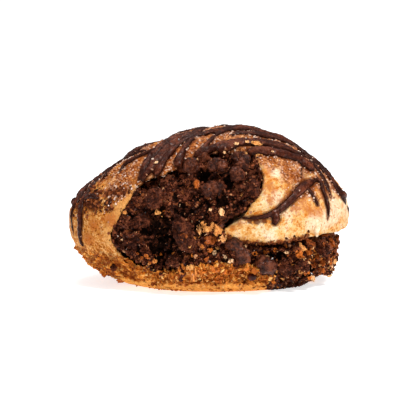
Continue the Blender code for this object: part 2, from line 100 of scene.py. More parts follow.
# Piped chocolate: a name, how many threads lie side by side, then the course as azimuth, altitude
# and width in millimetres
STRANDS = (
    ("heel", 1, (
        (-171, 2, 0.5), (-171, 8, 0.9), (-173, 13, 1.8), (-177, 18, 2.2), (175, 23, 1.6),
        (158, 31, 2.2), (135, 33, 2.6), (112, 27, 2.4), (98, 14, 1.2),
    )),
    ("shoulder", 1, (
        (-165, -2, 1.1), (-164, 4, 1.4), (-163, 9, 1.5), (-164, 14, 1.7), (-168, 19, 1.9),
        (-174, 24, 1.6), (-178, 31, 1.8), (-178, 38, 1.5), (-175, 44, 1.6), (-167, 50, 1.1),
    )),
    ("wisp", 1, (
        (-160, 33, 0.8), (-164, 37, 1.2), (-163, 41, 1.4), (-160, 45, 1.2), (-155, 50, 1.1),
        (-149, 54, 0.7),
    )),
    ("ear", 1, ((-176, 15.5, 1.4), (-179, 13.5, 2.8), (178, 12, 1.6))),
    ("nick", 1, ((-167, 26, 0.6), (-169, 30, 0.9), (-173, 35, 0.8))),
    ("left", 3, (
        (-140, 32, 1.8), (-140, 36, 3.2), (-140, 41, 4.4), (-142, 46, 4.7), (-143, 52, 4.5),
        (-145, 58, 4.0), (-145, 66, 3.3), (-142, 74, 3.0), (150, 81, 3.0), (66, 78, 3.3),
        (56, 60, 4.0), (54, 40, 3.6), (54, 22, 1.6),
    )),
    ("middle", 1, (
        (-122, 43, 2.5), (-123, 48, 2.8), (-125, 54, 2.2), (-127, 61, 1.8), (-127, 69, 1.8),
        (-112, 77, 1.9), (-30, 84, 2.2), (26, 68, 3.0), (36, 50, 2.9), (40, 32, 2.4), (41, 20, 1.2),
    )),
    ("right", 1, (
        (-113, 54, 1.8), (-107, 59, 1.7), (-103, 66, 1.5), (-98, 74, 1.3), (-60, 82, 1.4),
        (0, 76, 2.0), (14, 57, 2.6), (21, 42, 2.5), (25, 27, 1.8), (26, 15, 1.0),
    )),
    ("crest", 2, (
        (-114, 52, 2.4), (-106, 55, 3.0), (-97, 58, 3.6), (-88, 61, 4.0), (-76, 63.5, 3.6),
        (-64, 64.5, 3.4), (-53, 63.5, 3.2), (-43, 61.5, 3.1), (-33, 58, 3.0), (-25, 54, 2.8),
        (-19, 49, 2.5), (-15, 44, 2.0), (-15, 39, 1.7), (-18, 34, 1.5), (-20, 29, 1.4),
        (-22, 25, 1.5), (-24, 21, 1.0),
    )),
    ("over", 2, (
        (-66, 75, 1.0), (-58, 76, 1.5), (-46, 76, 2.3), (-28, 72, 2.9), (-14, 67, 2.9),
        (-7, 62, 2.7), (-3, 56, 2.5), (-3, 51, 2.3), (-5, 46, 2.1), (-6, 41, 2.0), (-8, 36, 1.9),
        (-11, 31, 1.8), (-13, 26, 1.8), (-13, 22, 2.2), (-11, 18, 1.8), (-9, 15, 0.9),
    )),
    ("brow", 1, (
        (-80, 57, 1.6), (-66, 57.5, 2.2), (-55, 56, 2.6), (-46, 53.5, 2.8), (-38, 50.5, 2.7),
        (-31, 47, 2.6), (-25, 43.5, 2.4), (-22, 39.5, 2.5), (-21, 35.5, 2.0),
    )),
    ("thin", 1, ((-25, 41, 0.6), (-29, 38, 0.7), (-34, 34, 0.5))),
    ("lobe", 1, (
        (-24, 32, 2.2), (-24, 29, 1.3), (-26, 26, 1.2), (-27, 22, 1.2), (-28, 18, 1.2),
        (-29, 15, 0.7), (-30, 12, 0.5),
    )),
    ("crease", 1, (
        (-25, 31, 1.8), (-30, 31, 2.4), (-37, 29.5, 2.5), (-43, 27, 2.4), (-48, 24.5, 2.3),
        (-53, 22, 2.1), (-58, 20, 1.8), (-63, 18.8, 1.4), (-68, 18.4, 1.1), (-73, 19, 0.8),
        (-77, 20, 0.6),
    )),
    ("fork", 1, ((-32, 30, 1.2), (-33.5, 26.5, 1.1), (-34.5, 22.5, 1.1), (-35, 19, 1.4))),
    ("tear", 1, ((-56, 20.5, 2.2), (-57.5, 17.5, 2.3), (-60, 14, 2.4))),
    ("blot", 1, ((-166, 17, 1.4), (-162, 19, 1.9), (-157, 19, 1.2))),
    ("dots", 1, ((-152, 21, 0.8), (-150, 17.5, 1.2))),
    ("end", 1, ((-14, 22, 1.4), (-10, 20, 2.0), (-6, 18, 1.4))),
    ("side", 1, ((-7, 14, 0.9), (-6, 11, 1.1))),
    ("flank", 1, (
        (-178, 38, 1.0), (170, 44, 2.0), (150, 51, 2.6), (126, 52, 2.8), (104, 40, 2.6),
        (92, 22, 1.4),
    )),
    ("spine", 1, (
        (-166, 62, 1.4), (170, 70, 2.2), (125, 74, 2.6), (86, 62, 2.6), (75, 42, 2.5),
        (70, 22, 1.3),
    )),
    ("nape", 1, ((166, 12, 1.4), (150, 20, 2.4), (136, 22, 2.4), (124, 15, 1.4))),
)
STRAND_STEP = 0.7 * MM
THREAD_SPREAD = 0.38
THREAD_SHARE = {1: 1.0, 2: 0.56, 3: 0.47}

# Chips and lumps on the filling's face: x and z seen from the front, half the width, half the
# height and how proud, in millimetres, the tilt in degrees, then how smooth from 0 to 1
CHIPS = (
    (-4.2, 33.0, 2.5, 2.0, 2.0, 10, 0.85), (-1.6, 34.4, 2.1, 1.6, 2.0, 0, 0.85),
    (2.6, 33.6, 2.4, 2.0, 2.2, 0, 0.9), (8.3, 34.0, 2.4, 2.5, 2.3, 20, 0.9),
    (7.8, 31.0, 2.2, 1.6, 2.0, 0, 0.8), (8.6, 28.3, 1.6, 1.5, 1.5, 30, 0.5),
    (11.2, 27.4, 1.8, 2.1, 1.5, -15, 0.5), (0.9, 27.8, 3.1, 1.9, 1.4, 6, 0.82),
    (-13.4, 25.2, 2.8, 2.6, 0.5, 40, 0.6), (-6.2, 16.2, 2.6, 4.9, 0.6, 8, 0.55),
    (-19.5, 14.0, 2.3, 2.0, 1.2, 0, 0.15), (8.0, 11.9, 3.6, 1.8, 1.8, -33, 1.0),
    (14.9, 8.2, 2.8, 2.2, 1.7, -12, 0.95), (20.2, 6.2, 1.9, 1.2, 1.2, 10, 0.5),
    (24.0, 7.0, 1.8, 1.6, 1.5, 0, 0.4), (-9.0, 9.6, 2.0, 1.7, 1.2, 0, 0.15),
    (30.5, 10.5, 2.0, 1.6, 1.3, 0, 0.3), (31.4, 16.6, 1.7, 1.0, 1.2, 0, 0.5),
    (-17.0, 19.5, 1.8, 2.2, 0.9, -20, 0.2), (-10.5, 29.2, 1.8, 1.2, 1.2, 20, 0.3),
)

# Recesses pushed into the filling, also darkened there with painted shade: x, z and reach in millimetres
RECESSES = (
    (-11.6, 15.3, 2.8), (-12.8, 11.6, 2.2), (-13.0, 19.6, 1.8), (-9.3, 8.8, 2.2), (-2.6, 18.0, 1.8),
    (-1.2, 31.0, 1.1), (5.6, 29.9, 1.0), (-12.4, 22.6, 1.3), (-15.5, 17.0, 1.3), (3.2, 24.6, 1.0),
    (10.6, 23.6, 1.2), (18.0, 9.6, 1.4), (-6.6, 22.0, 1.2), (27.0, 6.0, 1.2),
)

# Torn flakes of dough: x and z seen from the front, width and height in millimetres, how far it
# leans out and its turn in degrees, then its tone from pale at 0 to brown at 1
FLAKES = (
    (-2.5, 17.2, 1.2, 2.7, 60, 15, 0.24), (-0.1, 17.9, 2.7, 2.4, 35, 0, 0.32),
    (2.3, 17.2, 2.4, 2.7, 40, 40, 0.36), (0.7, 15.0, 3.0, 2.8, 15, 0, 0.66),
    (3.6, 15.0, 1.8, 2.2, 50, -20, 0.24), (-1.1, 19.1, 1.3, 1.0, 30, 30, 0.36),
    (-2.9, 28.5, 1.3, 2.8, 65, 8, 0.62), (3.3, 22.0, 1.2, 1.7, 30, 20, 0.15),
    (9.6, 14.2, 4.0, 1.3, 55, -6, 0.20), (23.6, 12.0, 3.0, 1.6, 50, -15, 0.32),
    (23.0, 10.1, 2.6, 2.2, 25, 0, 0.55), (24.2, 8.0, 1.0, 2.6, 60, 10, 0.22),
    (24.0, 6.2, 1.2, 1.6, 40, 0, 0.30), (20.0, 10.7, 1.0, 0.6, 20, 0, 0.10),
    (28.5, 8.8, 1.0, 2.8, 60, 12, 0.65), (27.2, 3.4, 1.0, 1.4, 40, 20, 0.15),
    (33.0, 6.0, 1.8, 1.0, 40, 20, 0.22), (1.6, 11.4, 0.9, 1.1, 30, 0, 0.05),
    (4.4, 10.4, 0.8, 0.8, 20, 0, 0.0), (5.8, 9.3, 1.2, 1.4, 40, 0, 0.0),
    (9.2, 12.9, 1.0, 0.8, 30, 0, 0.15), (-13.8, 8.7, 1.1, 1.1, 40, 45, 0.40),
    (-6.1, 15.9, 1.7, 1.6, 6, 0, 0.75), (-15.4, 9.6, 1.0, 0.9, 40, 0, 0.6),
    (27.5, 13.2, 3.4, 1.3, 45, -15, 0.90), (29.5, 12.3, 3.0, 1.6, 50, -10, 0.95),
    (30.8, 11.4, 2.6, 2.0, 40, -25, 0.85), (28.6, 10.8, 2.8, 1.2, 55, -20, 0.95),
    (26.4, 12.2, 2.4, 1.2, 45, 10, 0.80), (31.8, 13.2, 2.0, 1.8, 50, 30, 0.90),
    (25.6, 9.4, 2.0, 1.2, 40, 60, 0.85), (33.0, 9.0, 1.6, 2.4, 60, 10, 0.80),
    (19.0, 12.8, 2.2, 1.0, 50, -5, 0.80), (-16.9, 9.4, 0.7, 0.8, 40, 10, 0.60),
    (-15.9, 10.4, 1.1, 0.6, 40, -30, 0.55), (-12.2, 10.3, 0.5, 0.8, 40, 0, 0.50),
    (-8.9, 11.0, 0.9, 0.5, 40, 20, 0.45), (-18.2, 10.3, 0.5, 0.6, 40, 45, 0.62),
    (-15.0, 8.3, 0.8, 0.6, 40, 0, 0.58), (26.0, 10.6, 1.4, 2.6, 55, 15, 0.62),
    (27.6, 6.6, 1.3, 2.2, 50, -10, 0.70), (29.8, 7.2, 1.2, 2.8, 60, 12, 0.66),
    (31.2, 9.0, 1.1, 3.0, 60, 8, 0.72), (32.6, 11.4, 1.2, 2.6, 55, 14, 0.70),
    (30.2, 13.8, 2.8, 1.1, 45, -12, 0.72), (32.4, 14.4, 2.2, 1.1, 45, -22, 0.68),
    (34.0, 12.0, 1.0, 2.4, 55, 6, 0.74), (28.2, 14.6, 2.6, 1.0, 45, -14, 0.66),
    (25.4, 4.6, 1.6, 1.2, 40, 25, 0.58), (29.4, 4.6, 1.5, 1.3, 45, -15, 0.62),
    (31.8, 6.4, 1.1, 1.8, 50, 10, 0.64), (14.8, 11.2, 1.4, 1.0, 40, 10, 0.55),
    (17.0, 11.8, 1.6, 0.9, 40, -15, 0.60), (16.2, 6.4, 0.9, 0.9, 40, 0, 0.50),
    (-4.6, 13.6, 0.8, 1.1, 40, 10, 0.30), (-3.8, 15.2, 1.2, 0.9, 40, -20, 0.35),
    (-1.4, 13.2, 0.9, 1.2, 40, 15, 0.45), (2.4, 13.0, 1.0, 1.2, 45, 0, 0.30),
    (0.4, 12.2, 1.3, 1.0, 40, 30, 0.50), (-5.8, 17.6, 1.0, 1.3, 30, 0, 0.62),
    (13.6, 13.0, 1.8, 1.0, 50, 10, 0.70), (11.9, 10.9, 1.2, 0.9, 40, 0, 0.50),
    (-21.5, 21.2, 1.0, 0.8, 30, 0, 0.35),
)

# Torn shards that stand out of the base band, in the same terms
SHARDS = (
    (-6.4, 6.7, 2.3, 2.5, 35, 20, 0.48), (-3.9, 6.2, 1.7, 3.3, 40, 12, 0.42),
    (-4.7, 7.6, 1.8, 1.4, 30, 0, 0.28), (-7.0, 3.6, 2.8, 2.2, 45, -30, 0.45),
    (-3.2, 3.2, 3.2, 1.4, 50, 0, 0.48), (-1.4, 6.9, 2.4, 1.5, 30, 15, 0.52),
    (1.6, 7.3, 2.8, 1.6, 30, -10, 0.55), (4.6, 6.9, 2.4, 1.6, 35, 10, 0.52),
    (7.4, 5.8, 2.2, 1.4, 30, 0, 0.55), (-9.2, 5.0, 2.0, 1.6, 40, 30, 0.50),
    (-11.6, 6.4, 1.9, 1.4, 35, -15, 0.55), (2.6, 4.4, 2.6, 1.3, 40, 5, 0.50),
    (9.4, 7.4, 1.8, 1.3, 30, 25, 0.48), (13.4, 4.6, 1.8, 1.6, 30, -20, 0.50),
)

# Flakes caught on the piped chocolate over the crown, in the same terms
CREST_FLAKES = (
    (12.4, 38.2, 2.6, 0.9, 30, -6, 0.30), (7.2, 38.2, 1.0, 0.7, 30, 0, 0.15),
    (10.0, 38.6, 0.9, 0.7, 30, 0, 0.20), (9.6, 35.7, 2.2, 0.6, 30, -4, 0.25),
    (13.0, 35.5, 1.8, 0.6, 30, 4, 0.30), (4.1, 36.2, 0.6, 0.6, 30, 0, 0.15),
    (5.4, 35.0, 0.7, 0.7, 30, 0, 0.20), (-13.5, 33.5, 0.9, 0.5, 30, 30, 0.0),
    (16.5, 36.3, 0.6, 0.4, 30, 0, 0.10),
)

# Soft places on the dough, each an azimuth, an altitude and a reach in degrees
SUGARED = (
    (-152, 27, 9), (-158, 35, 10), (-148, 38, 8), (-40, 45, 8), (-30, 41, 8), (-52, 49, 7),
    (-33, 35, 7), (-44, 37, 6),
)
TOASTED = (
    (-36, 17, 4), (-41, 19, 4), (-46, 21, 4), (-42, 23, 4), (-39, 26, 4), (-66, 50, 3),
    (-67, 44, 3), (-58, 42, 5), (-60, 33, 4), (-29, 28, 2.5), (-63, 36, 4), (-40, 35, 5),
    (-35, 34, 4), (-46, 33, 4), (-48, 29, 3), (-60, 26, 3), (-147, 12, 4), (-156, 8, 3),
    (-160, 2, 3), (-85, 8, 3), (-78, 6, 3), (-71, 5, 2.5), (-64, 4, 2.5), (-56, 4.5, 2.5),
    (-49, 5.5, 2.5), (-82, 14, 2.5), (-78, 16, 2),
)
# Darker brown low at the left front: part toasting, part painted shade
SCORCHED_AND_SHADED = ((-130, -13, 5), (-122, -14, 5), (-116, -16, 4), (-68, -20, 4), (-54, -16, 4))
PALE = (
    (-22, 16, 8), (-8, 16, 9), (-30, 12, 6), (-14, 26, 7), (-38, 12, 5), (-62, 9, 3), (-52, 40, 4),
    (-56, 27, 4),
)
SMEARED = (
    (-72, 17.2, 1.6), (-68, 16.6, 2.2), (-64, 16.2, 1.6), (-168, 17, 5), (-162, 18, 4.5),
    (-158, 16, 3), (-151, 19, 2), (-150, 17, 1.5), (-148, 25, 3), (-155, 23, 2.5),
)
SPILT = (
    (-133, -10, 3.5), (-128, -11, 3), (-115, -17, 2), (-153, -11, 1.5), (-64, -14, 1.6),
    (-112, -14, 2),
)
PORED = ((-69, 22, 2.2), (-64, 21.5, 2.5), (-60, 21.5, 2))

# The lower edge of the front fold, as azimuth and altitude
RIM = ((-87, 8), (-84, 7), (-78, 4.5), (-70, 3.5), (-62, 3), (-53, 3.5), (-46, 4.5), (-41, 5.5))

# The torn upper edge of the base band: x, y, z and half its thickness in millimetres
TORN_EDGE = (
    (-9.0, -21.6, 5.6, 1.0), (-6.5, -22.8, 6.2, 1.2), (-3.5, -23.6, 7.0, 1.5),
    (-1.0, -23.9, 7.5, 1.6), (1.5, -24.0, 7.7, 1.5), (4.0, -24.1, 7.8, 1.7), (6.5, -23.9, 7.9, 1.5),
    (9.0, -23.5, 7.7, 1.6), (11.5, -22.8, 7.3, 1.4), (14.0, -21.6, 6.6, 1.1),
)

# A bead of melted chocolate and a thick drip of syrup: x and z seen from the front, and the
# bead's radius, in millimetres
BEAD = (10.9, 4.5)
BEAD_RADIUS = 1.25
SYRUP = (27.9, 17.0)

# Torn flakes: how thick, how large a millimetre of their tables is made, and the share of the
# lean in the tables that they take
FLAKE_THICK = 0.1 * MM
FLAKE_SCALE = 1.15 * MM
LEAN_SHARE = 0.6

# Loose things: a weight so low that hardly any lie there, how far around they need to be free,
# how strongly the small ones prevail, and how far flat ones tilt out of the surface
HARDLY = 0.00001
FREE_REACH = 25 * MM
MOSTLY_SMALL = 2.2
TILTED = {"small_flakes": 0.7, "base_flakes": 0.6}

# Studio: light from overhead by height, lamps as name, place, size and power, then the camera
OVERHEAD = {"From Min": 0.25, "From Max": 0.95, "To Min": 0.10, "To Max": 0.78}
LAMPS = (
    ("key", (0.20, -0.26, 0.38), 0.10, 2.0),
    ("top", (-0.06, 0.04, 0.45), 0.12, 0.6),
    ("left_fill", (-0.42, -0.30, 0.22), 0.30, 0.12),
)
CAMERA_AIM = Vector((0, 0, 19.5)) * MM
CAMERA_TILT = 8.0
CAMERA_FAR = 0.5
SENSOR = 36.0
PIXELS_PER_MM = 3.747
IMAGE_WIDE = 416
CAMERA_SHIFT = (-0.3, 0.5)
FLOOR_DROP = 0.0002


def srgb(red, green, blue):
    """A colour as the eye reads it, 0 to 255, turned into the light values that a shader takes."""
    values = [part / 255 for part in (red, green, blue)]
    return tuple(v / 12.92 if v <= 0.04045 else ((v + 0.055) / 1.055) ** 2.4 for v in values)


def ease(start, end, value):
    """Go smoothly from 0 at start to 1 at end, for a number or a whole array."""
    t = np.clip((value - start) / (end - start), 0.0, 1.0)
    return t * t * (3.0 - 2.0 * t)


# Shader maths


class Wire:
    """A socket in a shader, with the operators that maths on it needs."""

    def __init__(self, paint, socket):
        self.paint = paint
        self.socket = socket

    def maths(self, operation, first, second):
        """The outcome of one step of maths on two values."""
        return self.paint.node("Math", {"operation": operation}, {0: first, 1: second})

    def __add__(self, other):
        return self.maths("ADD", self, other)

    def __sub__(self, other):
        return self.maths("SUBTRACT", self, other)

    def __rsub__(self, other):
        return self.maths("SUBTRACT", other, self)

    def __mul__(self, other):
        return self.maths("MULTIPLY", self, other)

    def __pow__(self, other):
        return self.maths("POWER", self, other)

    __radd__ = __add__
    __rmul__ = __mul__


class Paint:
    """A material, built up node by node."""

    def __init__(self, name):
        self.material = bpy.data.materials.new(name)
        self.material.use_nodes = True
        self.tree = self.material.node_tree
        self.shader = self.tree.nodes["Principled BSDF"]
        self.place = self.node("TexCoord", output="Object")

    def node(self, kind, settings=None, inputs=None, output=0):
        """Any node: its kind, its settings, what goes into it, and the output to go on with."""
        made = self.tree.nodes.new("ShaderNode" + kind)
        for key, value in (settings or {}).items():
            if key == "stops":
                self.set_stops(made.color_ramp, value)
            else:
                setattr(made, key, value)
        for key, value in (inputs or {}).items():
            self.plug(made.inputs[key], value)
        return Wire(self, made.outputs[output])

    def set_stops(self, ramp, stops):
        """Give a colour ramp its positions and colours."""
        while len(ramp.elements) < len(stops):
            ramp.elements.new(1.0)
        for element, (position, colour) in zip(ramp.elements, stops):
            element.position = position
            element.color = (*colour, 1.0)

    def plug(self, socket, value):
        """Lead a wire, a colour or a number into a socket."""
        if isinstance(value, Wire):
            self.tree.links.new(value.socket, socket)
        elif socket.type == "RGBA":
            socket.default_value = (*value, 1.0)
        else:
            socket.default_value = value

    def set(self, **values):
        """Set inputs of the surface shader by their names."""
        for key, value in values.items():
            self.plug(self.shader.inputs[key.replace("_", " ")], value)

    def mask(self, name):
        """A value that was worked out for each point of the surface."""
        return self.node("Attribute", {"attribute_name": name}, output="Fac")

    def grain(self, size, detail=3.0, roughness=0.6, stretch=(1, 1, 1)):
        """Cloudy noise from 0 to 1 with patches of that size in millimetres."""
        place = self.node("Mapping", inputs={"Vector": self.place, "Scale": stretch})
        return self.node(
            "TexNoise",
            inputs={"Vector": place, "Scale": 1000 / size, "Detail": detail, "Roughness": roughness},
        )

    def cells(self, size, output="Distance"):
        """Cells of that size in millimetres."""
        return self.node(
            "TexVoronoi", {"feature": "F1"}, {"Vector": self.place, "Scale": 1000 / size}, output
        )

    def step(self, value, low, high):
        """From 0 at low to 1 at high, softly."""
        return self.node(
            "MapRange",
            {"interpolation_type": "SMOOTHSTEP"},
            {"Value": value, "From Min": low, "From Max": high, "To Min": 0.0, "To Max": 1.0},
        )

    def ramp(self, value, *stops):
        """Colours along a value, each stop a position and a colour."""
        return self.node("ValToRGB", {"stops": stops}, {"Fac": value})

    def mix(self, factor, first, second, blend="MIX"):
        """From the first colour to the second by a factor."""
        return self.node(
            "Mix",
            {"data_type": "RGBA", "blend_type": blend},
            {0: factor, 6: first, 7: second},
            output=2,
        )

    def stain(self, colour, name, uneven, span, share, tint):
        """Lay a tint over a colour where a mask is high, with an uneven edge."""
        amount = self.step(self.mask(name) + uneven, *span)
        return self.mix(amount * share, colour, tint)

    def bump(self, height, distance):
        """Low relief, its height in millimetres where the value is 1."""
        made = self.node(
            "Bump", inputs={"Height": height, "Distance": distance * MM, "Strength": 1.0}
        )
        self.set(Normal=made)


# Work on meshes


def only(thing):
    """Make a thing the only selected and active one."""
    bpy.ops.object.select_all(action="DESELECT")
    thing.select_set(True)
    bpy.context.view_layer.objects.active = thing


def fresh(add, **settings):
    """A new simple shape by one of Blender's add operators, to be worked into a piece."""
    bpy.ops.object.select_all(action="DESELECT")
    add(**settings)
    return bpy.context.view_layer.objects.active


def edit(thing):
    """Open a thing for editing."""
    only(thing)
    bpy.ops.object.mode_set(mode="EDIT")


def edit_all(thing):
    """Open a thing for editing, with all of it selected."""
    edit(thing)
    bpy.ops.mesh.select_all(action="SELECT")


def done():
    """Close what is open for editing."""
    bpy.ops.object.mode_set(mode="OBJECT")


def finish_with(thing, kind, **settings):
    """Add a modifier and apply it at once."""
    only(thing)
    mod = thing.modifiers.new(kind.lower(), kind)
    for key, value in settings.items():
        setattr(mod, key, value)
    bpy.ops.object.modifier_apply(modifier=mod.name)


def merged_copy(node, name):
    """A copy of a CAD node's mesh, its loose triangles joined again."""
    thing = bpy.data.objects.new(name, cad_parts[node].data.copy())
    SCENE.collection.objects.link(thing)
    thing.data.materials.clear()
    edit_all(thing)
    bpy.ops.mesh.remove_doubles(threshold=MERGE_WITHIN)
    bpy.ops.mesh.customdata_custom_splitnormals_clear()
    done()
    return thing


def points_of(thing, what="co"):
    """Places or normals of a mesh's points, as an array."""
    values = np.zeros(len(thing.data.vertices) * 3)
    source = thing.data.vertices if what == "co" else thing.data.vertex_normals
    source.foreach_get("co" if what == "co" else "vector", values)
    return values.reshape(-1, 3)


def set_mask(thing, name, values):
    """Keep a value for each point, for the shader."""
    layer = thing.data.attributes.new(name, "FLOAT", "POINT")
    layer.data.foreach_set("value", np.asarray(values, dtype=np.float32))


def mask_of(thing, name):
    """The values of a mask, as an array."""
    values = np.zeros(len(thing.data.vertices), dtype=np.float32)
    thing.data.attributes[name].data.foreach_get("value", values)
    return values


def set_group(thing, name, weights):
    """Keep a weight for each point, for a modifier."""
    group = thing.vertex_groups.new(name=name)
    levels = np.round(np.clip(weights, 0, 1) * 20).astype(int)
    for level in range(1, 21):
        chosen = np.flatnonzero(levels == level)
        if len(chosen):
            group.add(chosen.tolist(), level / 20, "REPLACE")


def tree_of(thing):
    """A mesh's surface, ready to be searched."""
    return BVHTree.FromPolygons(
        [vert.co.copy() for vert in thing.data.vertices],
        [tuple(face.vertices) for face in thing.data.polygons],
    )


def relief(thing, kind, size, height, group="", middle=0.5, **settings):
    """Raise the surface by a procedural pattern: its size and height in millimetres."""
    texture = bpy.data.textures.new(kind.lower(), kind)
    texture.noise_scale = size * MM
    for key, value in settings.items():
        setattr(texture, key, value)
    finish_with(
        thing, "DISPLACE", texture=texture, strength=height * MM, mid_level=middle, vertex_group=group
    )


def seen_from_outside(places, normals, trees, reach=60 * MM):
    """Which points have a free way out in some direction."""
    steep = [(k * 60, 55) for k in range(6)]
    flat = [(k * 60 + 30, 20) for k in range(6)]
    tilts = [heading(azimuth, altitude) for azimuth, altitude in [(0, 90), *steep, *flat]]
    open_to_air = np.zeros(len(places), bool)
    for k, (place, normal) in enumerate(zip(places, normals)):
        normal = Vector(normal)
        start = Vector(place) + normal * 0.15 * MM
        turn = Vector((0, 0, 1)).rotation_difference(normal)
        for tilt in tilts:
            way = turn @ tilt
            if all(tree.ray_cast(start, way, reach)[0] is None for tree in trees):
                open_to_air[k] = True
                break
    return open_to_air


def thin_hidden(thing, shown, share):
    """Take away detail where it can't be seen."""
    faces = thing.data.polygons
    count = np.zeros(len(faces), int)
    faces.foreach_get("loop_total", count)
    corner = np.zeros(count.sum(), int)
    thing.data.loops.foreach_get("vertex_index", corner)
    starts = np.concatenate(([0], np.cumsum(count)[:-1]))
    hidden = ~np.logical_or.reduceat(shown[corner], starts)
    edit(thing)
    bpy.ops.mesh.select_mode(type="FACE")
    bpy.ops.mesh.select_all(action="DESELECT")
    done()
    faces.foreach_set("select", hidden)
    edit(thing)
    bpy.ops.mesh.decimate(ratio=share)
    bpy.ops.mesh.select_all(action="SELECT")
    bpy.ops.mesh.quads_convert_to_tris()
    done()


def heading(azimuth, altitude):
    """The unit vector at an azimuth and altitude in degrees."""
    a = math.radians(azimuth)
    b = math.radians(altitude)
    return Vector((math.cos(b) * math.cos(a), math.cos(b) * math.sin(a), math.sin(b)))


def smooth_path(stops, step):
    """A smooth curve through stops of azimuth, altitude and width: outward rays and widths."""
    rows = [np.array((*heading(azimuth, altitude), width)) for azimuth, altitude, width in stops]
    rows = [2 * rows[0] - rows[1]] + rows + [2 * rows[-1] - rows[-2]]
    path = []
    for p0, p1, p2, p3 in zip(rows, rows[1:], rows[2:], rows[3:]):
        count = max(2, round(np.linalg.norm((p2 - p1)[:3]) * HEART_TO_SKIN / step))
        for k in range(count):
            t = k / count
            bend = (2 * p0 - 5 * p1 + 4 * p2 - p3) * t**2 + (3 * p1 - p0 - 3 * p2 + p3) * t**3
            path.append(0.5 * (2 * p1 + (p2 - p0) * t + bend))
    path.append(rows[-2])
    return [(Vector(row[:3]).normalized(), row[3]) for row in path]


def patches(places, spots):
    """How near places are to any of the named spots, from 0 to 1."""
    rays = places - np.array(HEART)
    rays /= np.linalg.norm(rays, axis=1)[:, None]
    near = np.zeros(len(places))
    for azimuth, altitude, wide in spots:
        angle = np.degrees(np.arccos(np.clip(rays @ np.array(heading(azimuth, altitude)), -1, 1)))
        near = np.maximum(near, np.exp(-((angle / wide) ** 2)))
    return near


def distance_to(tree, places, reach):
    """How far places are from a surface, up to reach."""
    far = []
    for place in places:
        found = tree.find_nearest(Vector(place), reach)
        far.append(found[3] if found[0] is not None else reach)
    return np.array(far)


def smooth_shaded(thing):
    """Shade a mesh as one soft surface."""
    thing.data.polygons.foreach_set("use_smooth", np.ones(len(thing.data.polygons), bool))


def tube(name, course):
    """A round rod as a curve, through places with a radius at each."""
    curve = bpy.data.curves.new(name, "CURVE")
    curve.dimensions = "3D"
    curve.bevel_depth = 1.0
    curve.bevel_resolution = 3
    curve.use_fill_caps = True
    spline = curve.splines.new("POLY")
    spline.points.add(len(course) - 1)
    for point, (place, radius) in zip(spline.points, course):
        point.co = (*place, 1.0)
        point.radius = radius
    rod = bpy.data.objects.new(name, curve)
    SCENE.collection.objects.link(rod)
    return rod


def turned_to(way):
    """The turn that points a thing's top along a way."""
    return Vector((0, 0, 1)).rotation_difference(way).to_matrix()


def joined(pieces, name):
    """Join several pieces into one."""
    bpy.ops.object.select_all(action="DESELECT")
    for piece in pieces:
        piece.select_set(True)
    bpy.context.view_layer.objects.active = pieces[0]
    bpy.ops.object.join()
    pieces[0].name = name
    return pieces[0]


def dress(thing, paint, slot):
    """Give a piece its material and let it ride on the part."""
    thing.data.materials.clear()
    thing.data.materials.append(paint.material)
    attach(thing, "root")


# The dough


def bare_dough():
    """The dough as a fine mesh: the solid's ridges smoothed away, the base band's edge raised."""
    dough = joined([merged_copy("pastry", "dough"), torn_edge()], "dough")
    finish_with(dough, "REMESH", mode="VOXEL", voxel_size=DOUGH_VOXEL)
    places = points_of(dough)
    under = np.zeros(len(places))
    for width, stops in RIDGES:
        away = away_from(smooth_path([(*stop, width) for stop in stops], 1.5 * MM), places)
        near = 0.5 * width * MM
        under = np.maximum(under, 1.0 - ease(near + 0.5 * MM, near + 1.2 * MM, away))
    set_group(dough, "under_strands", under)
    finish_with(dough, "SMOOTH", factor=0.5, iterations=60, vertex_group="under_strands")
    dough.vertex_groups.clear()
    return dough


def torn_edge():
    """The raised, uneven edge of the base band below the filling."""
    course = [((x * MM, y * MM, z * MM), half * MM) for x, y, z, half in TORN_EDGE]
    edge = tube("torn_edge", course)
    only(edge)
    bpy.ops.object.convert(target="MESH")
    finish_with(edge, "SUBSURF", levels=1, render_levels=1)
    return edge


def away_from(path, places):
    """How far places are from a course of outward rays, along the skin."""
    rays = places - np.array(HEART)
    reach = np.linalg.norm(rays, axis=1)
    finder = KDTree(len(path))
    for k, (ray, _) in enumerate(path):
        finder.insert(ray, k)
    finder.balance()
    return np.array([finder.find(ray)[2] for ray in rays / reach[:, None]]) * reach


def strand_threads(tree):
    """Every thread of piped chocolate: its name, its seed, and the places and widths it follows."""
    for name, threads, stops in STRANDS:
        path = smooth_path(stops, STRAND_STEP)
        for thread in range(threads):
            seed = len(name) + thread * 3.1
            course = []
            for k, (ray, width) in enumerate(path):
                across = (thread - 0.5 * (threads - 1)) * THREAD_SPREAD * width * MM
                ahead = path[min(k + 1, len(path) - 1)][0] - path[max(k - 1, 0)][0]
                side = ahead.cross(ray).normalized()
                sway = noise.noise(ray * 7.0 + Vector((seed, seed, 0.0))) * 0.25 * MM
                aimed = (ray + side * (across + sway) / HEART_TO_SKIN).normalized()
                place = tree.ray_cast(HEART + aimed * FAR_OUT * MM, -aimed)[0]
                if place is not None:
                    course.append((place, width * THREAD_SHARE[threads]))
            yield f"{name}_{thread}", seed, course


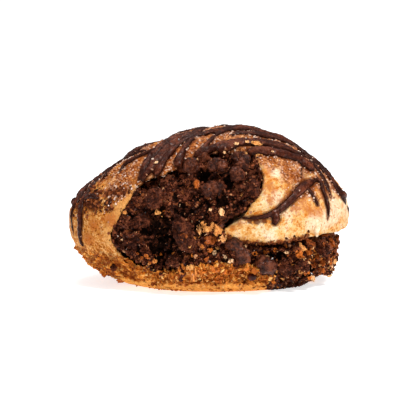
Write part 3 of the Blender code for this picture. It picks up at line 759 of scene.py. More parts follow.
def piped_chocolate(dough):
    """Strands of melted chocolate that lie on the dough and run into each other."""
    threads = []
    for name, seed, course in strand_threads(tree_of(dough)):
        last = len(course) - 1
        stops = []
        for k, (place, width) in enumerate(course):
            end = min(k, last - k) * STRAND_STEP
            share = 0.55 + 0.45 * ease(0, 1.2 * MM, end)
            share *= 1.0 + 0.14 * noise.noise(place / (3.6 * MM) + Vector((seed, 0, 0)))
            share *= 1.0 + 0.10 * noise.noise(place / (1.5 * MM) + Vector((0, seed, 0)))
            stops.append((place, 0.5 * (width * MM * share)))
        threads.append(tube(name, stops))
    bpy.ops.object.select_all(action="DESELECT")
    for thread in threads:
        thread.select_set(True)
    bpy.context.view_layer.objects.active = threads[0]
    bpy.ops.object.convert(target="MESH")
    strands = joined(threads, "piped_chocolate")
    edit_all(strands)
    bpy.ops.mesh.remove_doubles(threshold=MERGE_WITHIN)
    done()
    finish_with(strands, "REMESH", mode="VOXEL", voxel_size=STRAND_VOXEL)
    finish_with(strands, "SMOOTH", factor=0.5, iterations=2)
    relief(strands, "CLOUDS", 1.8, 0.35, noise_depth=2)
    relief(strands, "CLOUDS", 0.7, 0.22, noise_depth=1)
    return strands


def knead(dough, strands, filling_tree):
    """Relief of the dough, and the masks that its colours follow."""
    places = points_of(dough)
    normals = points_of(dough, "normal")
    strand_far = distance_to(tree_of(strands), places, 6 * MM)
    filling_far = distance_to(filling_tree, places, 4 * MM)
    x, y, z = places.T / MM

    rim = smooth_path([(*stop, 1.0) for stop in RIM], 1.0 * MM)
    left = ease(6, -10, x)
    back = ease(-2, 12, y)
    low = ease(13, 4, z)
    crown = ease(25, 32, z + 0.12 * x * (x < 0) - 0.1 * np.maximum(x - 14, 0))
    band = ease(-18, -13, x) * ease(20, 16, x) * ease(-8, -13, y) * ease(11, 9.5, z)
    heel = ease(-8, -18, x) * ease(13, 7, z)
    above_floor = ease(0.1, 1.2, z)
    skirt = ease(3.2, 1.9, z + 0.5 * np.sin(0.9 * x)) * ease(-27, -22, x) * ease(-4, -10, y)
    mouth = ease(1.8 * MM, 0.4 * MM, filling_far) * ease(9, 12, z)
    buried = ease(15.2, 17.2, x + 0.6 * np.sin(1.3 * z)) * ease(-1, -6, y) * ease(7, 5, z)
    sugared = np.maximum(crown * ease(5.5 * MM, 0.8 * MM, strand_far), patches(places, SUGARED))
    sugared = np.maximum(sugared, ease(2.2 * MM, 0.2 * MM, strand_far) * ease(20, 26, z) * 0.8)
    torn = np.maximum(np.maximum(band, buried), 0.8 * heel)

    set_group(dough, "soft", (1 - band) * above_floor)
    set_group(dough, "torn", torn * above_floor * (1 - 0.75 * skirt))
    set_group(dough, "mouth", mouth)
    set_group(dough, "crusted", sugared)
    relief(dough, "CLOUDS", 3.4, 0.55, "soft", noise_depth=1)
    relief(dough, "CLOUDS", 1.4, 0.42, "soft", noise_depth=2)
    relief(dough, "VORONOI", 2.6, -1.3, "torn", middle=0.35)
    relief(dough, "VORONOI", 1.1, -1.1, "torn", middle=0.35)
    relief(dough, "CLOUDS", 2.2, 1.2, "torn", noise_depth=3, noise_type="HARD_NOISE")
    relief(dough, "CLOUDS", 0.9, 0.75, "crusted", noise_depth=2)
    relief(dough, "CLOUDS", 1.5, 1.3, "mouth", noise_depth=2)
    dough.vertex_groups.clear()
    lay_flat(dough)
    raised = ((points_of(dough) - places) * normals).sum(1)
    by_filling = ease(1.6 * MM, 0.25 * MM, filling_far) * (1 - 0.7 * band) * (1 - 0.5 * left)

    masks = {
        "left": left,
        "back": back,
        "low": low,
        "band": band,
        "heel": heel,
        "skirt": skirt,
        "sugared": sugared,
        "toasted": patches(places, TOASTED),
        "smeared": patches(places, SMEARED),
        "spilt": np.maximum(patches(places, SPILT), buried),
        "pored": patches(places, PORED),
        "pale": patches(places, PALE),
        "by_strand": ease(1.0 * MM, 0.0, strand_far),
        "by_filling": by_filling,
        "rim": ease(1.6 * MM, 0.3 * MM, away_from(rim, places)) * ease(11, 13, z),
        # Toasting and painted shade, low at the left front
        "scorched": patches(places, SCORCHED_AND_SHADED),
        # Where the relief lies lowest, for painted shade in the pits
        "pitted": ease(np.percentile(raised, 30), np.percentile(raised, 4), raised),
        "lip": ease(4 * MM, 1.6 * MM, filling_far) * left * ease(9, 13, z),
    }
    for name, values in masks.items():
        set_mask(dough, name, values)


def lay_flat(thing):
    """Press the underside level, where it lies on the table."""
    places = points_of(thing)
    places[:, 2] = np.maximum(places[:, 2], 0.0)
    thing.data.vertices.foreach_set("co", places.ravel())
    thing.data.update()


def dough_paint():
    """Soft baked dough: cream to golden, sugared and browned at the strands, orange at the base."""
    paint = Paint("baked_dough")
    wide = paint.grain(9, 3)
    patchy = paint.grain(3.2, 4, 0.65)
    mottled = paint.grain(1.5, 4, 0.7)
    fine = paint.grain(0.6, 3, 0.7)
    freckles = paint.grain(0.85, 3, 0.7, (1.1, 1.0, 0.9))
    streaks = paint.grain(2.0, 4, 0.65, (0.4, 1.0, 1.5))
    left = paint.mask("left")

    golden = paint.step(left + paint.mask("back") * 0.8 + (wide - 0.5) * 0.9, 0.1, 0.9)
    cream = paint.ramp(
        patchy * 0.45 + fine * 0.35 + mottled * 0.2,
        (0.42, srgb(190, 102, 28)),
        (0.465, srgb(214, 152, 76)),
        (0.52, srgb(226, 184, 124)),
        (0.58, srgb(236, 212, 174)),
    )
    tan = paint.ramp(
        mottled * 0.25 + streaks * 0.15 + fine * 0.6,
        (0.42, srgb(112, 44, 2)),
        (0.46, srgb(188, 110, 36)),
        (0.52, srgb(212, 142, 66)),
        (0.58, srgb(236, 190, 128)),
    )
    colour = paint.mix(golden, cream, tan)
    colour = paint.stain(colour, "lip", (mottled - 0.5) * 1.2, (0.35, 0.9), 0.6, srgb(222, 160, 90))

    browned = mottled + fine * 1.5 - 1.25
    toasted = paint.step(paint.mask("toasted") * 0.9 + browned * 1.8, 0.30, 0.9)
    freckled = paint.step(wide * 0.3 + patchy * 0.2 + freckles + left * 0.03, 0.80, 0.89)
    colour = paint.stain(colour, "pale", (mottled - 0.5) * 0.8, (0.2, 0.9), 0.55, srgb(240, 222, 196))
    colour = paint.mix(toasted * 0.75, colour, srgb(176, 86, 24))
    colour = paint.mix(freckled * (0.75 - 0.4 * paint.mask("back")), colour, srgb(182, 98, 36))

    orange = paint.ramp(
        fine * 0.45 + mottled * 0.3 + streaks * 0.25,
        (0.42, srgb(84, 28, 2)),
        (0.465, srgb(176, 84, 12)),
        (0.52, srgb(228, 134, 38)),
        (0.575, srgb(255, 194, 108)),
    )
    band = paint.mask("band")
    heel = paint.mask("heel")
    grainy = patchy + fine - 1.0
    colour = paint.stain(colour, "low", (patchy - 0.5) * 0.8, (0.35, 0.9), 0.8, orange)
    torn = paint.step(band + heel * 0.7 + (patchy - 0.5) * 0.5, 0.3, 0.7)
    colour = paint.mix(torn, colour, orange)
    # Toasting and painted shade: darker brown low at the left front
    colour = paint.stain(colour, "scorched", grainy * 1.4, (0.2, 0.8), 0.55, srgb(116, 48, 8))
    colour = paint.stain(colour, "skirt", grainy * 1.2, (0.35, 0.9), 0.6, srgb(246, 178, 88))
    # Painted shade: dark brown in the pits of the base band and the lower dough
    pitted = paint.mask("pitted") * paint.step(band + paint.mask("low") + heel, 0.1, 0.7)
    colour = paint.mix(pitted * 0.7, colour, srgb(92, 34, 4))

    sugar = paint.ramp(
        fine * 0.5 + mottled * 0.25 + patchy * 0.25,
        (0.43, srgb(80, 28, 4)),
        (0.48, srgb(136, 60, 14)),
        (0.53, srgb(172, 96, 40)),
        (0.59, srgb(228, 172, 122)),
    )
    sugared = paint.step(paint.mask("sugared") + (mottled - 0.5) * 1.3, 0.25, 0.75)
    colour = paint.mix(sugared * 0.9, colour, sugar)

    specks = (fine - 0.5) * 1.2
    blots = (patchy - 0.5) * 2.0 + (fine - 0.5) * 1.4
    colour = paint.stain(colour, "by_strand", specks, (0.40, 0.95), 0.85, srgb(86, 38, 16))
    colour = paint.stain(colour, "smeared", specks, (0.25, 0.65), 0.9, srgb(92, 36, 10))
    colour = paint.stain(colour, "spilt", specks, (0.35, 0.8), 0.9, srgb(56, 24, 11))
    colour = paint.stain(colour, "by_filling", blots, (0.5, 0.9), 0.9, srgb(92, 40, 18))
    colour = paint.stain(colour, "rim", (fine + mottled - 1.0) * 1.4, (0.25, 0.7), 0.85, srgb(120, 56, 20))

    pores = 1 - paint.step(paint.cells(0.9), 0.16, 0.26)
    colour = paint.mix(pores * paint.step(paint.mask("pored"), 0.3, 0.6), colour, srgb(96, 44, 14))
    dots = 1 - paint.step(paint.cells(2.0), 0.08, 0.15)
    colour = paint.mix(dots * golden * 0.85, colour, srgb(84, 40, 18))
    paint.set(Base_Color=colour, Roughness=0.60 - 0.22 * sugared, Specular_IOR_Level=0.06)
    paint.bump(fine * 0.7 + mottled * 0.7, 0.4)
    return paint


def chocolate_paint():
    """Melted and set chocolate, dark with a soft sheen, with painted shade where it lies low."""
    paint = Paint("piped_chocolate")
    cloudy = paint.grain(2.4, 4, 0.6)
    fine = paint.grain(0.5, 3, 0.7)
    colour = paint.ramp(
        cloudy * 0.6 + fine * 0.4,
        (0.42, srgb(44, 14, 7)),
        (0.5, srgb(68, 28, 15)),
        (0.58, srgb(102, 50, 31)),
    )
    # Painted shade: darker where the chocolate lies close to the dough, at its edges and between threads
    colour = paint.stain(colour, "thin", (cloudy - 0.5) * 0.7, (0.2, 1.0), 0.85, srgb(34, 11, 5))
    glint = paint.step(fine, 0.52, 0.60)
    paint.set(
        Base_Color=colour,
        Roughness=0.25,
        Specular_IOR_Level=0.10,
        Specular_Tint=(1.0, 0.74, 0.62),
        Coat_Weight=0.01 + glint * 0.35,
        Coat_Roughness=0.12,
    )
    paint.bump(fine * 0.6 + cloudy, 0.28)
    return paint


# The filling


def crumbly_filling(dough_tree):
    """The filling as a fine mesh, with little detail where it can't be seen."""
    filling = merged_copy("filling", "filling_core")
    finish_with(filling, "REMESH", mode="VOXEL", voxel_size=FILLING_VOXEL)
    places = points_of(filling)
    shown = seen_from_outside(places, points_of(filling, "normal"), [tree_of(filling), dough_tree])
    thin_hidden(filling, shown, HIDDEN_SHARE)
    return filling


def seen_in_front(tree, x, z):
    """The first place seen from the front at x and z in millimetres, and the way it faces."""
    start = Vector((x * MM, -FAR_OUT * MM, z * MM))
    place, normal, _, _ = tree.ray_cast(start, Vector((0, 1, 0)))
    if place is None:
        place, normal, _, _ = tree.find_nearest(Vector((x, FACE_DEPTH, z)) * MM)
    return place, normal


def break_up(filling, dough_tree):
    """Clumps, cracks and crumbly relief away from the smooth chips."""
    places = points_of(filling)
    normals = points_of(filling, "normal")
    tree = tree_of(filling)
    dough_far = distance_to(dough_tree, places, 2.5 * MM)
    rough = ease(0.0, 0.6 * MM, dough_far)
    for x, z, half_wide, half_high, _, _, smooth in CHIPS:
        place, _ = seen_in_front(tree, x, z)
        far = np.linalg.norm(places - np.array(place), axis=1)
        size = 0.5 * (half_wide + half_high)
        rough *= 1.0 - smooth * ease(1.1 * size * MM + 0.4 * MM, 0.7 * size * MM, far)
    x, _, z = places.T / MM
    recessed = np.zeros(len(places))
    for at_x, at_z, reach in RECESSES:
        recessed = np.maximum(recessed, np.exp(-((x - at_x) ** 2 + (z - at_z) ** 2) / reach**2))
    recessed *= ease(0, -6, places[:, 1] / MM) * rough
    set_group(filling, "crumbly", rough)
    set_group(filling, "recessed", recessed)
    set_group(filling, "at_dough", ease(1.7 * MM, 0.5 * MM, dough_far))
    finish_with(filling, "DISPLACE", strength=-1.5 * MM, mid_level=0.0, vertex_group="recessed")
    finish_with(filling, "DISPLACE", strength=0.75 * MM, mid_level=0.0, vertex_group="at_dough")
    relief(filling, "VORONOI", 5.0, 1.5, "crumbly", middle=0.45, weight_1=-1.0, weight_2=1.0)
    relief(filling, "CLOUDS", 3.0, 1.2, "crumbly", noise_depth=1)
    relief(filling, "VORONOI", 1.3, -0.9, "crumbly", middle=0.4)
    relief(filling, "VORONOI", 0.7, -0.6, "crumbly", middle=0.4)
    relief(filling, "CLOUDS", 0.6, 0.35, "crumbly", noise_depth=1)
    filling.vertex_groups.clear()
    lay_flat(filling)
    raised = ((points_of(filling) - places) * normals).sum(1)
    set_mask(filling, "crumbly", rough)
    set_mask(filling, "edge", ease(1.7 * MM, 0.6 * MM, dough_far))
    # Painted shade: where the relief lies lowest and in the recesses, to be darkened near black
    hollow = ease(np.percentile(raised, 42), np.percentile(raised, 10), raised)
    hollow *= ease(0.5 * MM, 1.5 * MM, dough_far)
    set_mask(filling, "hollow", np.maximum(hollow, 0.8 * recessed))


def filling_paint():
    """Dark crumb of the filling, with painted shade near black in its hollows, and warm bits."""
    paint = Paint("chocolate_filling")
    cloudy = paint.grain(3.0, 4, 0.6)
    fine = paint.grain(0.6, 4, 0.75)
    bit = paint.node("SeparateColor", inputs={0: paint.cells(0.8, output="Color")})
    colour = paint.ramp(
        cloudy * 0.3 + fine * 0.7,
        (0.42, srgb(18, 6, 2)),
        (0.47, srgb(50, 19, 10)),
        (0.53, srgb(86, 39, 23)),
        (0.59, srgb(140, 80, 52)),
    )
    warm = paint.ramp(fine, (0.40, srgb(96, 42, 18)), (0.6, srgb(160, 92, 52)))
    colour = paint.mix(paint.step(bit, 0.88, 0.92) * paint.mask("crumbly"), colour, warm)
    # Painted shade: near black in the hollows of the relief and in the recesses
    dark = paint.step(paint.mask("hollow") + (fine - 0.5) * 0.8, 0.2, 0.9)
    colour = paint.mix(dark * 0.94, colour, srgb(8, 3, 1))
    glint = paint.step(fine, 0.56, 0.62) * (1 - dark)
    paint.set(
        Base_Color=colour,
        Roughness=0.55,
        Specular_IOR_Level=0.03,
        Coat_Weight=glint * 0.4,
        Coat_Roughness=0.14,
    )
    paint.bump(fine, 0.25)
    return paint


def make_chips(filling):
    """Chips and lumps of chocolate, each a rounded, uneven piece half sunk in the filling."""
    tree = tree_of(filling)
    chips = []
    for x, z, half_wide, half_high, proud, tilt, smooth in CHIPS:
        place, normal = seen_in_front(tree, x, z)
        normal = (normal + Vector((0, -0.8, 0.1))).normalized()
        chip = fresh(bpy.ops.mesh.primitive_ico_sphere_add, subdivisions=5, radius=1.0)
        edit_all(chip)
        bpy.ops.transform.resize(value=(half_wide * MM, half_high * MM, proud * MM))
        done()
        turn = turned_to(normal) @ Matrix.Rotation(math.radians(tilt), 3, "Z")
        chip.data.transform(Matrix.Translation(place) @ turn.to_4x4())
        relief(chip, "CLOUDS", 2.4, 2.6, noise_depth=1)
        relief(chip, "CLOUDS", 1.1, 0.9, noise_depth=2)
        relief(chip, "VORONOI", 1.1, -1.1 * (1.05 - smooth), middle=0.4)
        relief(chip, "CLOUDS", 0.6, 0.45 - 0.33 * smooth, noise_depth=2)
        set_mask(chip, "smooth", np.full(len(chip.data.vertices), smooth))
        chips.append(chip)
    return joined(chips, "chocolate_chips")


def chip_paint():
    """Chocolate of the chips, from dull and crumbed to smooth."""
    paint = Paint("chocolate_chips")
    cloudy = paint.grain(1.8, 4, 0.6)
    fine = paint.grain(0.5, 3, 0.7)
    smooth = paint.mask("smooth")
    colour = paint.ramp(
        cloudy * 0.6 + fine * 0.4,
        (0.42, srgb(36, 13, 6)),
        (0.5, srgb(66, 29, 16)),
        (0.58, srgb(106, 55, 34)),
    )
    paint.set(
        Base_Color=colour,
        Roughness=0.5,
        Specular_IOR_Level=0.05,
        Coat_Weight=smooth ** 3 * 0.2,
        Coat_Roughness=0.22,
    )
    paint.bump(fine, 0.2)
    return paint


# Loose things


def crumb_model(segments, rings, unevenness, seed):
    """One uneven crumb, one unit wide: its points and faces."""
    crumb = fresh(
        bpy.ops.mesh.primitive_uv_sphere_add, segments=segments, ring_count=rings, radius=0.5
    )
    made_uneven(crumb, unevenness, seed)
    return taken(crumb)


def flake_model(seed):
    """One small torn flake, one unit wide: its points and faces."""
    flake = fresh(bpy.ops.mesh.primitive_circle_add, vertices=8, radius=0.5, fill_type="TRIFAN")
    made_uneven(flake, 0.2, seed)
    finish_with(flake, "SOLIDIFY", thickness=0.1, offset=0.0)
    return taken(flake)


def sugar_model(seed):
    """One grain of sugar, one unit wide: its points and faces."""
    grain = fresh(bpy.ops.mesh.primitive_cube_add, size=1.0)
    made_uneven(grain, 0.16, seed)
    return taken(grain)


def made_uneven(thing, offset, seed):
    """Move each corner of a model a little, any way."""
    edit_all(thing)
    bpy.ops.transform.vertex_random(offset=offset, uniform=1.0, normal=0.0, seed=seed)
    done()


def taken(thing):
    """A model's points and triangles, and the model itself put away."""
    edit_all(thing)
    bpy.ops.mesh.quads_convert_to_tris()
    done()
    shape = points_of(thing)
    faces = np.array([tuple(face.vertices) for face in thing.data.polygons])
    bpy.data.objects.remove(thing)
    return shape, faces


def any_turns(random, count):
    """That many random turns, as matrices."""
    q = random.normal(size=(count, 4))
    q /= np.linalg.norm(q, axis=1)[:, None]
    a, b, c, d = q.T
    return np.stack(
        [
            np.stack([1 - 2 * (c * c + d * d), 2 * (b * c - a * d), 2 * (b * d + a * c)], 1),
            np.stack([2 * (b * c + a * d), 1 - 2 * (b * b + d * d), 2 * (c * d - a * b)], 1),
            np.stack([2 * (b * d - a * c), 2 * (c * d + a * b), 1 - 2 * (b * b + c * c)], 1),
        ],
        1,
    )


def turns_facing(random, normals, tilt):
    """Turns that lay a flat thing on the surface, a little tilted and spun at random."""
    up = normals + random.normal(size=normals.shape) * tilt
    up /= np.linalg.norm(up, axis=1)[:, None]
    side = np.cross(up, random.normal(size=up.shape))
    side /= np.linalg.norm(side, axis=1)[:, None]
    return np.stack([side, np.cross(up, side), up], 2)


def scattered(name, models, places, turns, sizes, tones):
    """Many copies of a few models as one mesh, each copy with its own tone."""
    shapes, faces, tone = [], [], []
    start = 0
    for k, (place, turn, size) in enumerate(zip(places, turns, sizes)):
        shape, triangles = models[k % len(models)]
        shapes.append((shape * size) @ turn.T + place)
        faces.append(triangles + start)
        tone.append(np.full(len(shape), tones[k]))
        start += len(shape)
    mesh = bpy.data.meshes.new(name)
    mesh.from_pydata(np.concatenate(shapes).tolist(), [], np.concatenate(faces).tolist())
    thing = bpy.data.objects.new(name, mesh)
    SCENE.collection.objects.link(thing)
    set_mask(thing, "tone", np.concatenate(tone))
    return thing


class Skin:
    """A surface that loose things are scattered over, more densely where its weight is high."""

    def __init__(self, thing, weight=None):
        mesh = thing.data
        mesh.calc_loop_triangles()
        corners = np.zeros(len(mesh.loop_triangles) * 3, int)
        mesh.loop_triangles.foreach_get("vertices", corners)
        corners = corners.reshape(-1, 3)
        self.corners = points_of(thing)[corners]
        cross = np.cross(
            self.corners[:, 1] - self.corners[:, 0], self.corners[:, 2] - self.corners[:, 0]
        )
        area = np.linalg.norm(cross, axis=1)
        self.normals = cross / np.maximum(area, 1e-16)[:, None]
        share = area if weight is None else area * weight[corners].mean(1)
        self.share = share / share.sum()

    def spots(self, random, count):
        """Random places on the surface, and the way it faces there."""
        chosen = random.choice(len(self.share), count, p=self.share)
        u = random.random((count, 2))
        flip = u.sum(1) > 1
        u[flip] = 1 - u[flip]
        a, b, c = self.corners[chosen].transpose(1, 0, 2)
        return a + (b - a) * u[:, :1] + (c - a) * u[:, 1:], self.normals[chosen]


def strewn(name, models, skin, trees, count, sizes, rise, seed):
    """Loose things over a surface, kept only where they show: the smallest and largest size in
    millimetres, and how much of each stands out."""
    random = np.random.default_rng(seed)
    places, normals = skin.spots(random, count)
    keep = seen_from_outside(places, normals, trees, FREE_REACH)
    places, normals = places[keep], normals[keep]
    low, high = sizes
    size = (low + (high - low) * random.random(len(places)) ** MOSTLY_SMALL) * MM
    places = places + normals * (size * rise)[:, None]
    places[:, 2] = np.maximum(places[:, 2], 0.75 * size)
    if name in TILTED:
        turns = turns_facing(random, normals, TILTED[name])
    else:
        turns = any_turns(random, len(places))
    tones = random.random(len(places))
    size = size[:, None] * (0.75 + 0.5 * random.random((len(places), 3)))
    return scattered(name, models, places, turns, size, tones)


def torn_flakes(name, table, tree):
    """Wavy torn flakes of dough at their named places, standing a little off the surface."""
    flakes = []
    for k, (x, z, wide, high, lean, spin, tone) in enumerate(table):
        flake = fresh(
            bpy.ops.mesh.primitive_grid_add, x_subdivisions=14, y_subdivisions=14, size=1.0
        )
        shape = points_of(flake)
        for row in shape:
            wave = noise.noise(Vector((row[0] * 2.4, row[1] * 2.4, k * 1.7)))
            ripple = noise.noise(Vector((row[0] * 7.0, row[1] * 5.0, k * 2.9)))
            angle = math.atan2(row[1], row[0])
            around = Vector((math.cos(angle) * 2.2, math.sin(angle) * 2.2, k * 0.9))
            nick = noise.noise(Vector((row[0] * 11.0, row[1] * 11.0, k * 3.3)))
            ragged = 1.0 + 0.45 * noise.noise(around)
            ragged *= 1.0 + 0.55 * nick * max(map(abs, row[:2]))
            row[2] = 0.45 * wave + 0.16 * ripple + 0.4 * row[1] ** 2
            row[:2] *= ragged * (1.0 - 0.6 * max(0.0, abs(row[0]) + abs(row[1]) - 0.5))
        flake.data.vertices.foreach_set("co", shape.ravel())
        size = Matrix.Diagonal((wide, high, min(wide, high), 1.0 / FLAKE_SCALE)) * FLAKE_SCALE
        flake.data.transform(size)
        finish_with(flake, "SOLIDIFY", thickness=FLAKE_THICK, offset=0.0)
        place, normal = seen_in_front(tree, x, z)
        facing = (normal * 0.5 + Vector((0, -1, 0.15))).normalized()
        leaned = math.radians(lean * LEAN_SHARE)
        turn = turned_to(facing) @ Matrix.Rotation(math.radians(spin), 3, "Z")
        turn = turn @ Matrix.Rotation(-leaned, 3, "X")
        out = (0.4 + 0.25 * high * math.sin(leaned)) * MM
        flake.data.transform(Matrix.Translation(place + facing * out) @ turn.to_4x4())
        set_mask(flake, "tone", np.full(len(flake.data.vertices), tone))
        flakes.append(flake)
    return joined(flakes, name)


def crumb_paint():
    """Crumbs of the filling, most dark, a few toasted."""
    paint = Paint("crumbs")
    fine = paint.grain(0.4, 3, 0.7)
    colour = paint.ramp(
        paint.mask("tone"),
        (0.0, srgb(30, 10, 5)),
        (0.5, srgb(66, 29, 17)),
        (0.84, srgb(104, 52, 33)),
        (0.94, srgb(158, 88, 56)),
        (0.997, srgb(210, 150, 104)),
    )
    shade = paint.ramp(fine, (0.38, (0.25, 0.25, 0.25)), (0.62, (1.5, 1.5, 1.5)))
    colour = paint.mix(0.7, colour, shade, "MULTIPLY")
    glint = paint.step(paint.grain(1.0, 2), 0.54, 0.58)
    paint.set(
        Base_Color=colour,
        Roughness=0.55,
        Specular_IOR_Level=0.03,
        Coat_Weight=glint * 0.5,
        Coat_Roughness=0.12,
    )
    return paint


def baked_crumb_paint(name, *tones):
    """Crumb of the dough, in tones from dark to light."""
    paint = Paint(name)
    fine = paint.grain(0.5, 3, 0.7)
    colour = paint.ramp(paint.mask("tone"), *tones)
    shade = paint.ramp(fine, (0.3, (0.55, 0.5, 0.45)), (0.7, (1.2, 1.2, 1.2)))
    colour = paint.mix(0.7, colour, shade, "MULTIPLY")
    paint.set(Base_Color=colour, Roughness=0.6, Specular_IOR_Level=0.08)
    return paint


def flake_paint():
    """Thin baked flakes, from pale cream through orange to glossy brown."""
    paint = Paint("flakes")
    tone = paint.mask("tone")
    fine = paint.grain(0.6, 3, 0.7, (1.6, 1.0, 0.6))
    colour = paint.ramp(
        tone,
        (0.05, srgb(255, 218, 174)),
        (0.28, srgb(232, 168, 98)),
        (0.5, srgb(208, 118, 42)),
        (0.65, srgb(172, 90, 34)),
        (0.82, srgb(122, 64, 34)),
        (1.0, srgb(78, 44, 26)),
    )
    shade = paint.ramp(
        fine, (0.40, (0.42, 0.30, 0.20)), (0.50, (0.9, 0.8, 0.7)), (0.58, (1.25, 1.2, 1.15))
    )
    colour = paint.mix(0.85, colour, shade, "MULTIPLY")
    paint.set(
        Base_Color=colour,
        Roughness=0.5,
        Specular_IOR_Level=0.08,
        Coat_Weight=tone * 0.25,
        Coat_Roughness=0.15,
    )
    paint.bump(fine, 0.1)
    return paint


def sugar_paint():
    """Grains of sugar, clear to pinkish."""
    paint = Paint("sugar")
    colour = paint.ramp(
        paint.mask("tone"),
        (0.0, srgb(132, 74, 42)),
        (0.6, srgb(182, 124, 88)),
        (1.0, srgb(236, 212, 192)),
    )
    paint.set(Base_Color=colour, Roughness=0.25, Specular_IOR_Level=0.5)
    return paint


def melted_bead(tree):
    """A glossy bead of melted chocolate on the base band."""
    place, normal = seen_in_front(tree, *BEAD)
    bead = fresh(
        bpy.ops.mesh.primitive_uv_sphere_add, segments=32, ring_count=16, radius=BEAD_RADIUS * MM
    )
    bead.name = "chocolate_bead"
    edit_all(bead)
    bpy.ops.transform.resize(value=(1.0, 0.85, 0.92))
    done()
    bead.data.transform(Matrix.Translation(place + normal * 0.75 * MM))
    relief(bead, "CLOUDS", 2.0, 0.3, noise_depth=1)
    return bead


def bead_paint():
    """Melted chocolate, reddish dark under a glossy skin."""
    paint = Paint("melted_chocolate")
    cloudy = paint.grain(1.6, 3)
    colour = paint.ramp(cloudy, (0.4, srgb(46, 11, 4)), (0.6, srgb(98, 34, 12)))
    paint.set(
        Base_Color=colour,
        Roughness=0.5,
        Specular_IOR_Level=0.03,
        Coat_Weight=0.3,
        Coat_Roughness=0.07,
    )
    return paint


def syrup_drip(tree):
    """A thick pale drip that hangs off the end of the tongue."""
    place, _ = seen_in_front(tree, *SYRUP)
    drip = fresh(
        bpy.ops.mesh.primitive_uv_sphere_add, segments=24, ring_count=16, radius=1.0 * MM
    )
    drip.name = "syrup_drip"
    shape = points_of(drip)
    height = shape[:, 2] / MM
    wide = 1.0 + 0.7 * ease(0.0, 1.0, height) - 0.2 * ease(0.2, -0.6, height)
    shape *= np.stack([0.9 * wide, 0.45 * wide, np.full(len(shape), 2.3)], 1)
    drip.data.vertices.foreach_set("co", shape.ravel())
    drip.data.transform(Matrix.Translation(place + Vector((0, -0.05, 0)) * MM))
    relief(drip, "CLOUDS", 1.4, 0.5, noise_depth=1)
    return drip


def syrup_paint():
    """Set syrup, pale and glossy."""
    paint = Paint("syrup")
    cloudy = paint.grain(1.2, 3)
    colour = paint.ramp(cloudy, (0.4, srgb(208, 164, 112)), (0.6, srgb(236, 210, 172)))
    paint.set(
        Base_Color=colour,
        Roughness=0.3,
        Specular_IOR_Level=0.5,
        Coat_Weight=0.8,
        Coat_Roughness=0.1,
    )
    return paint


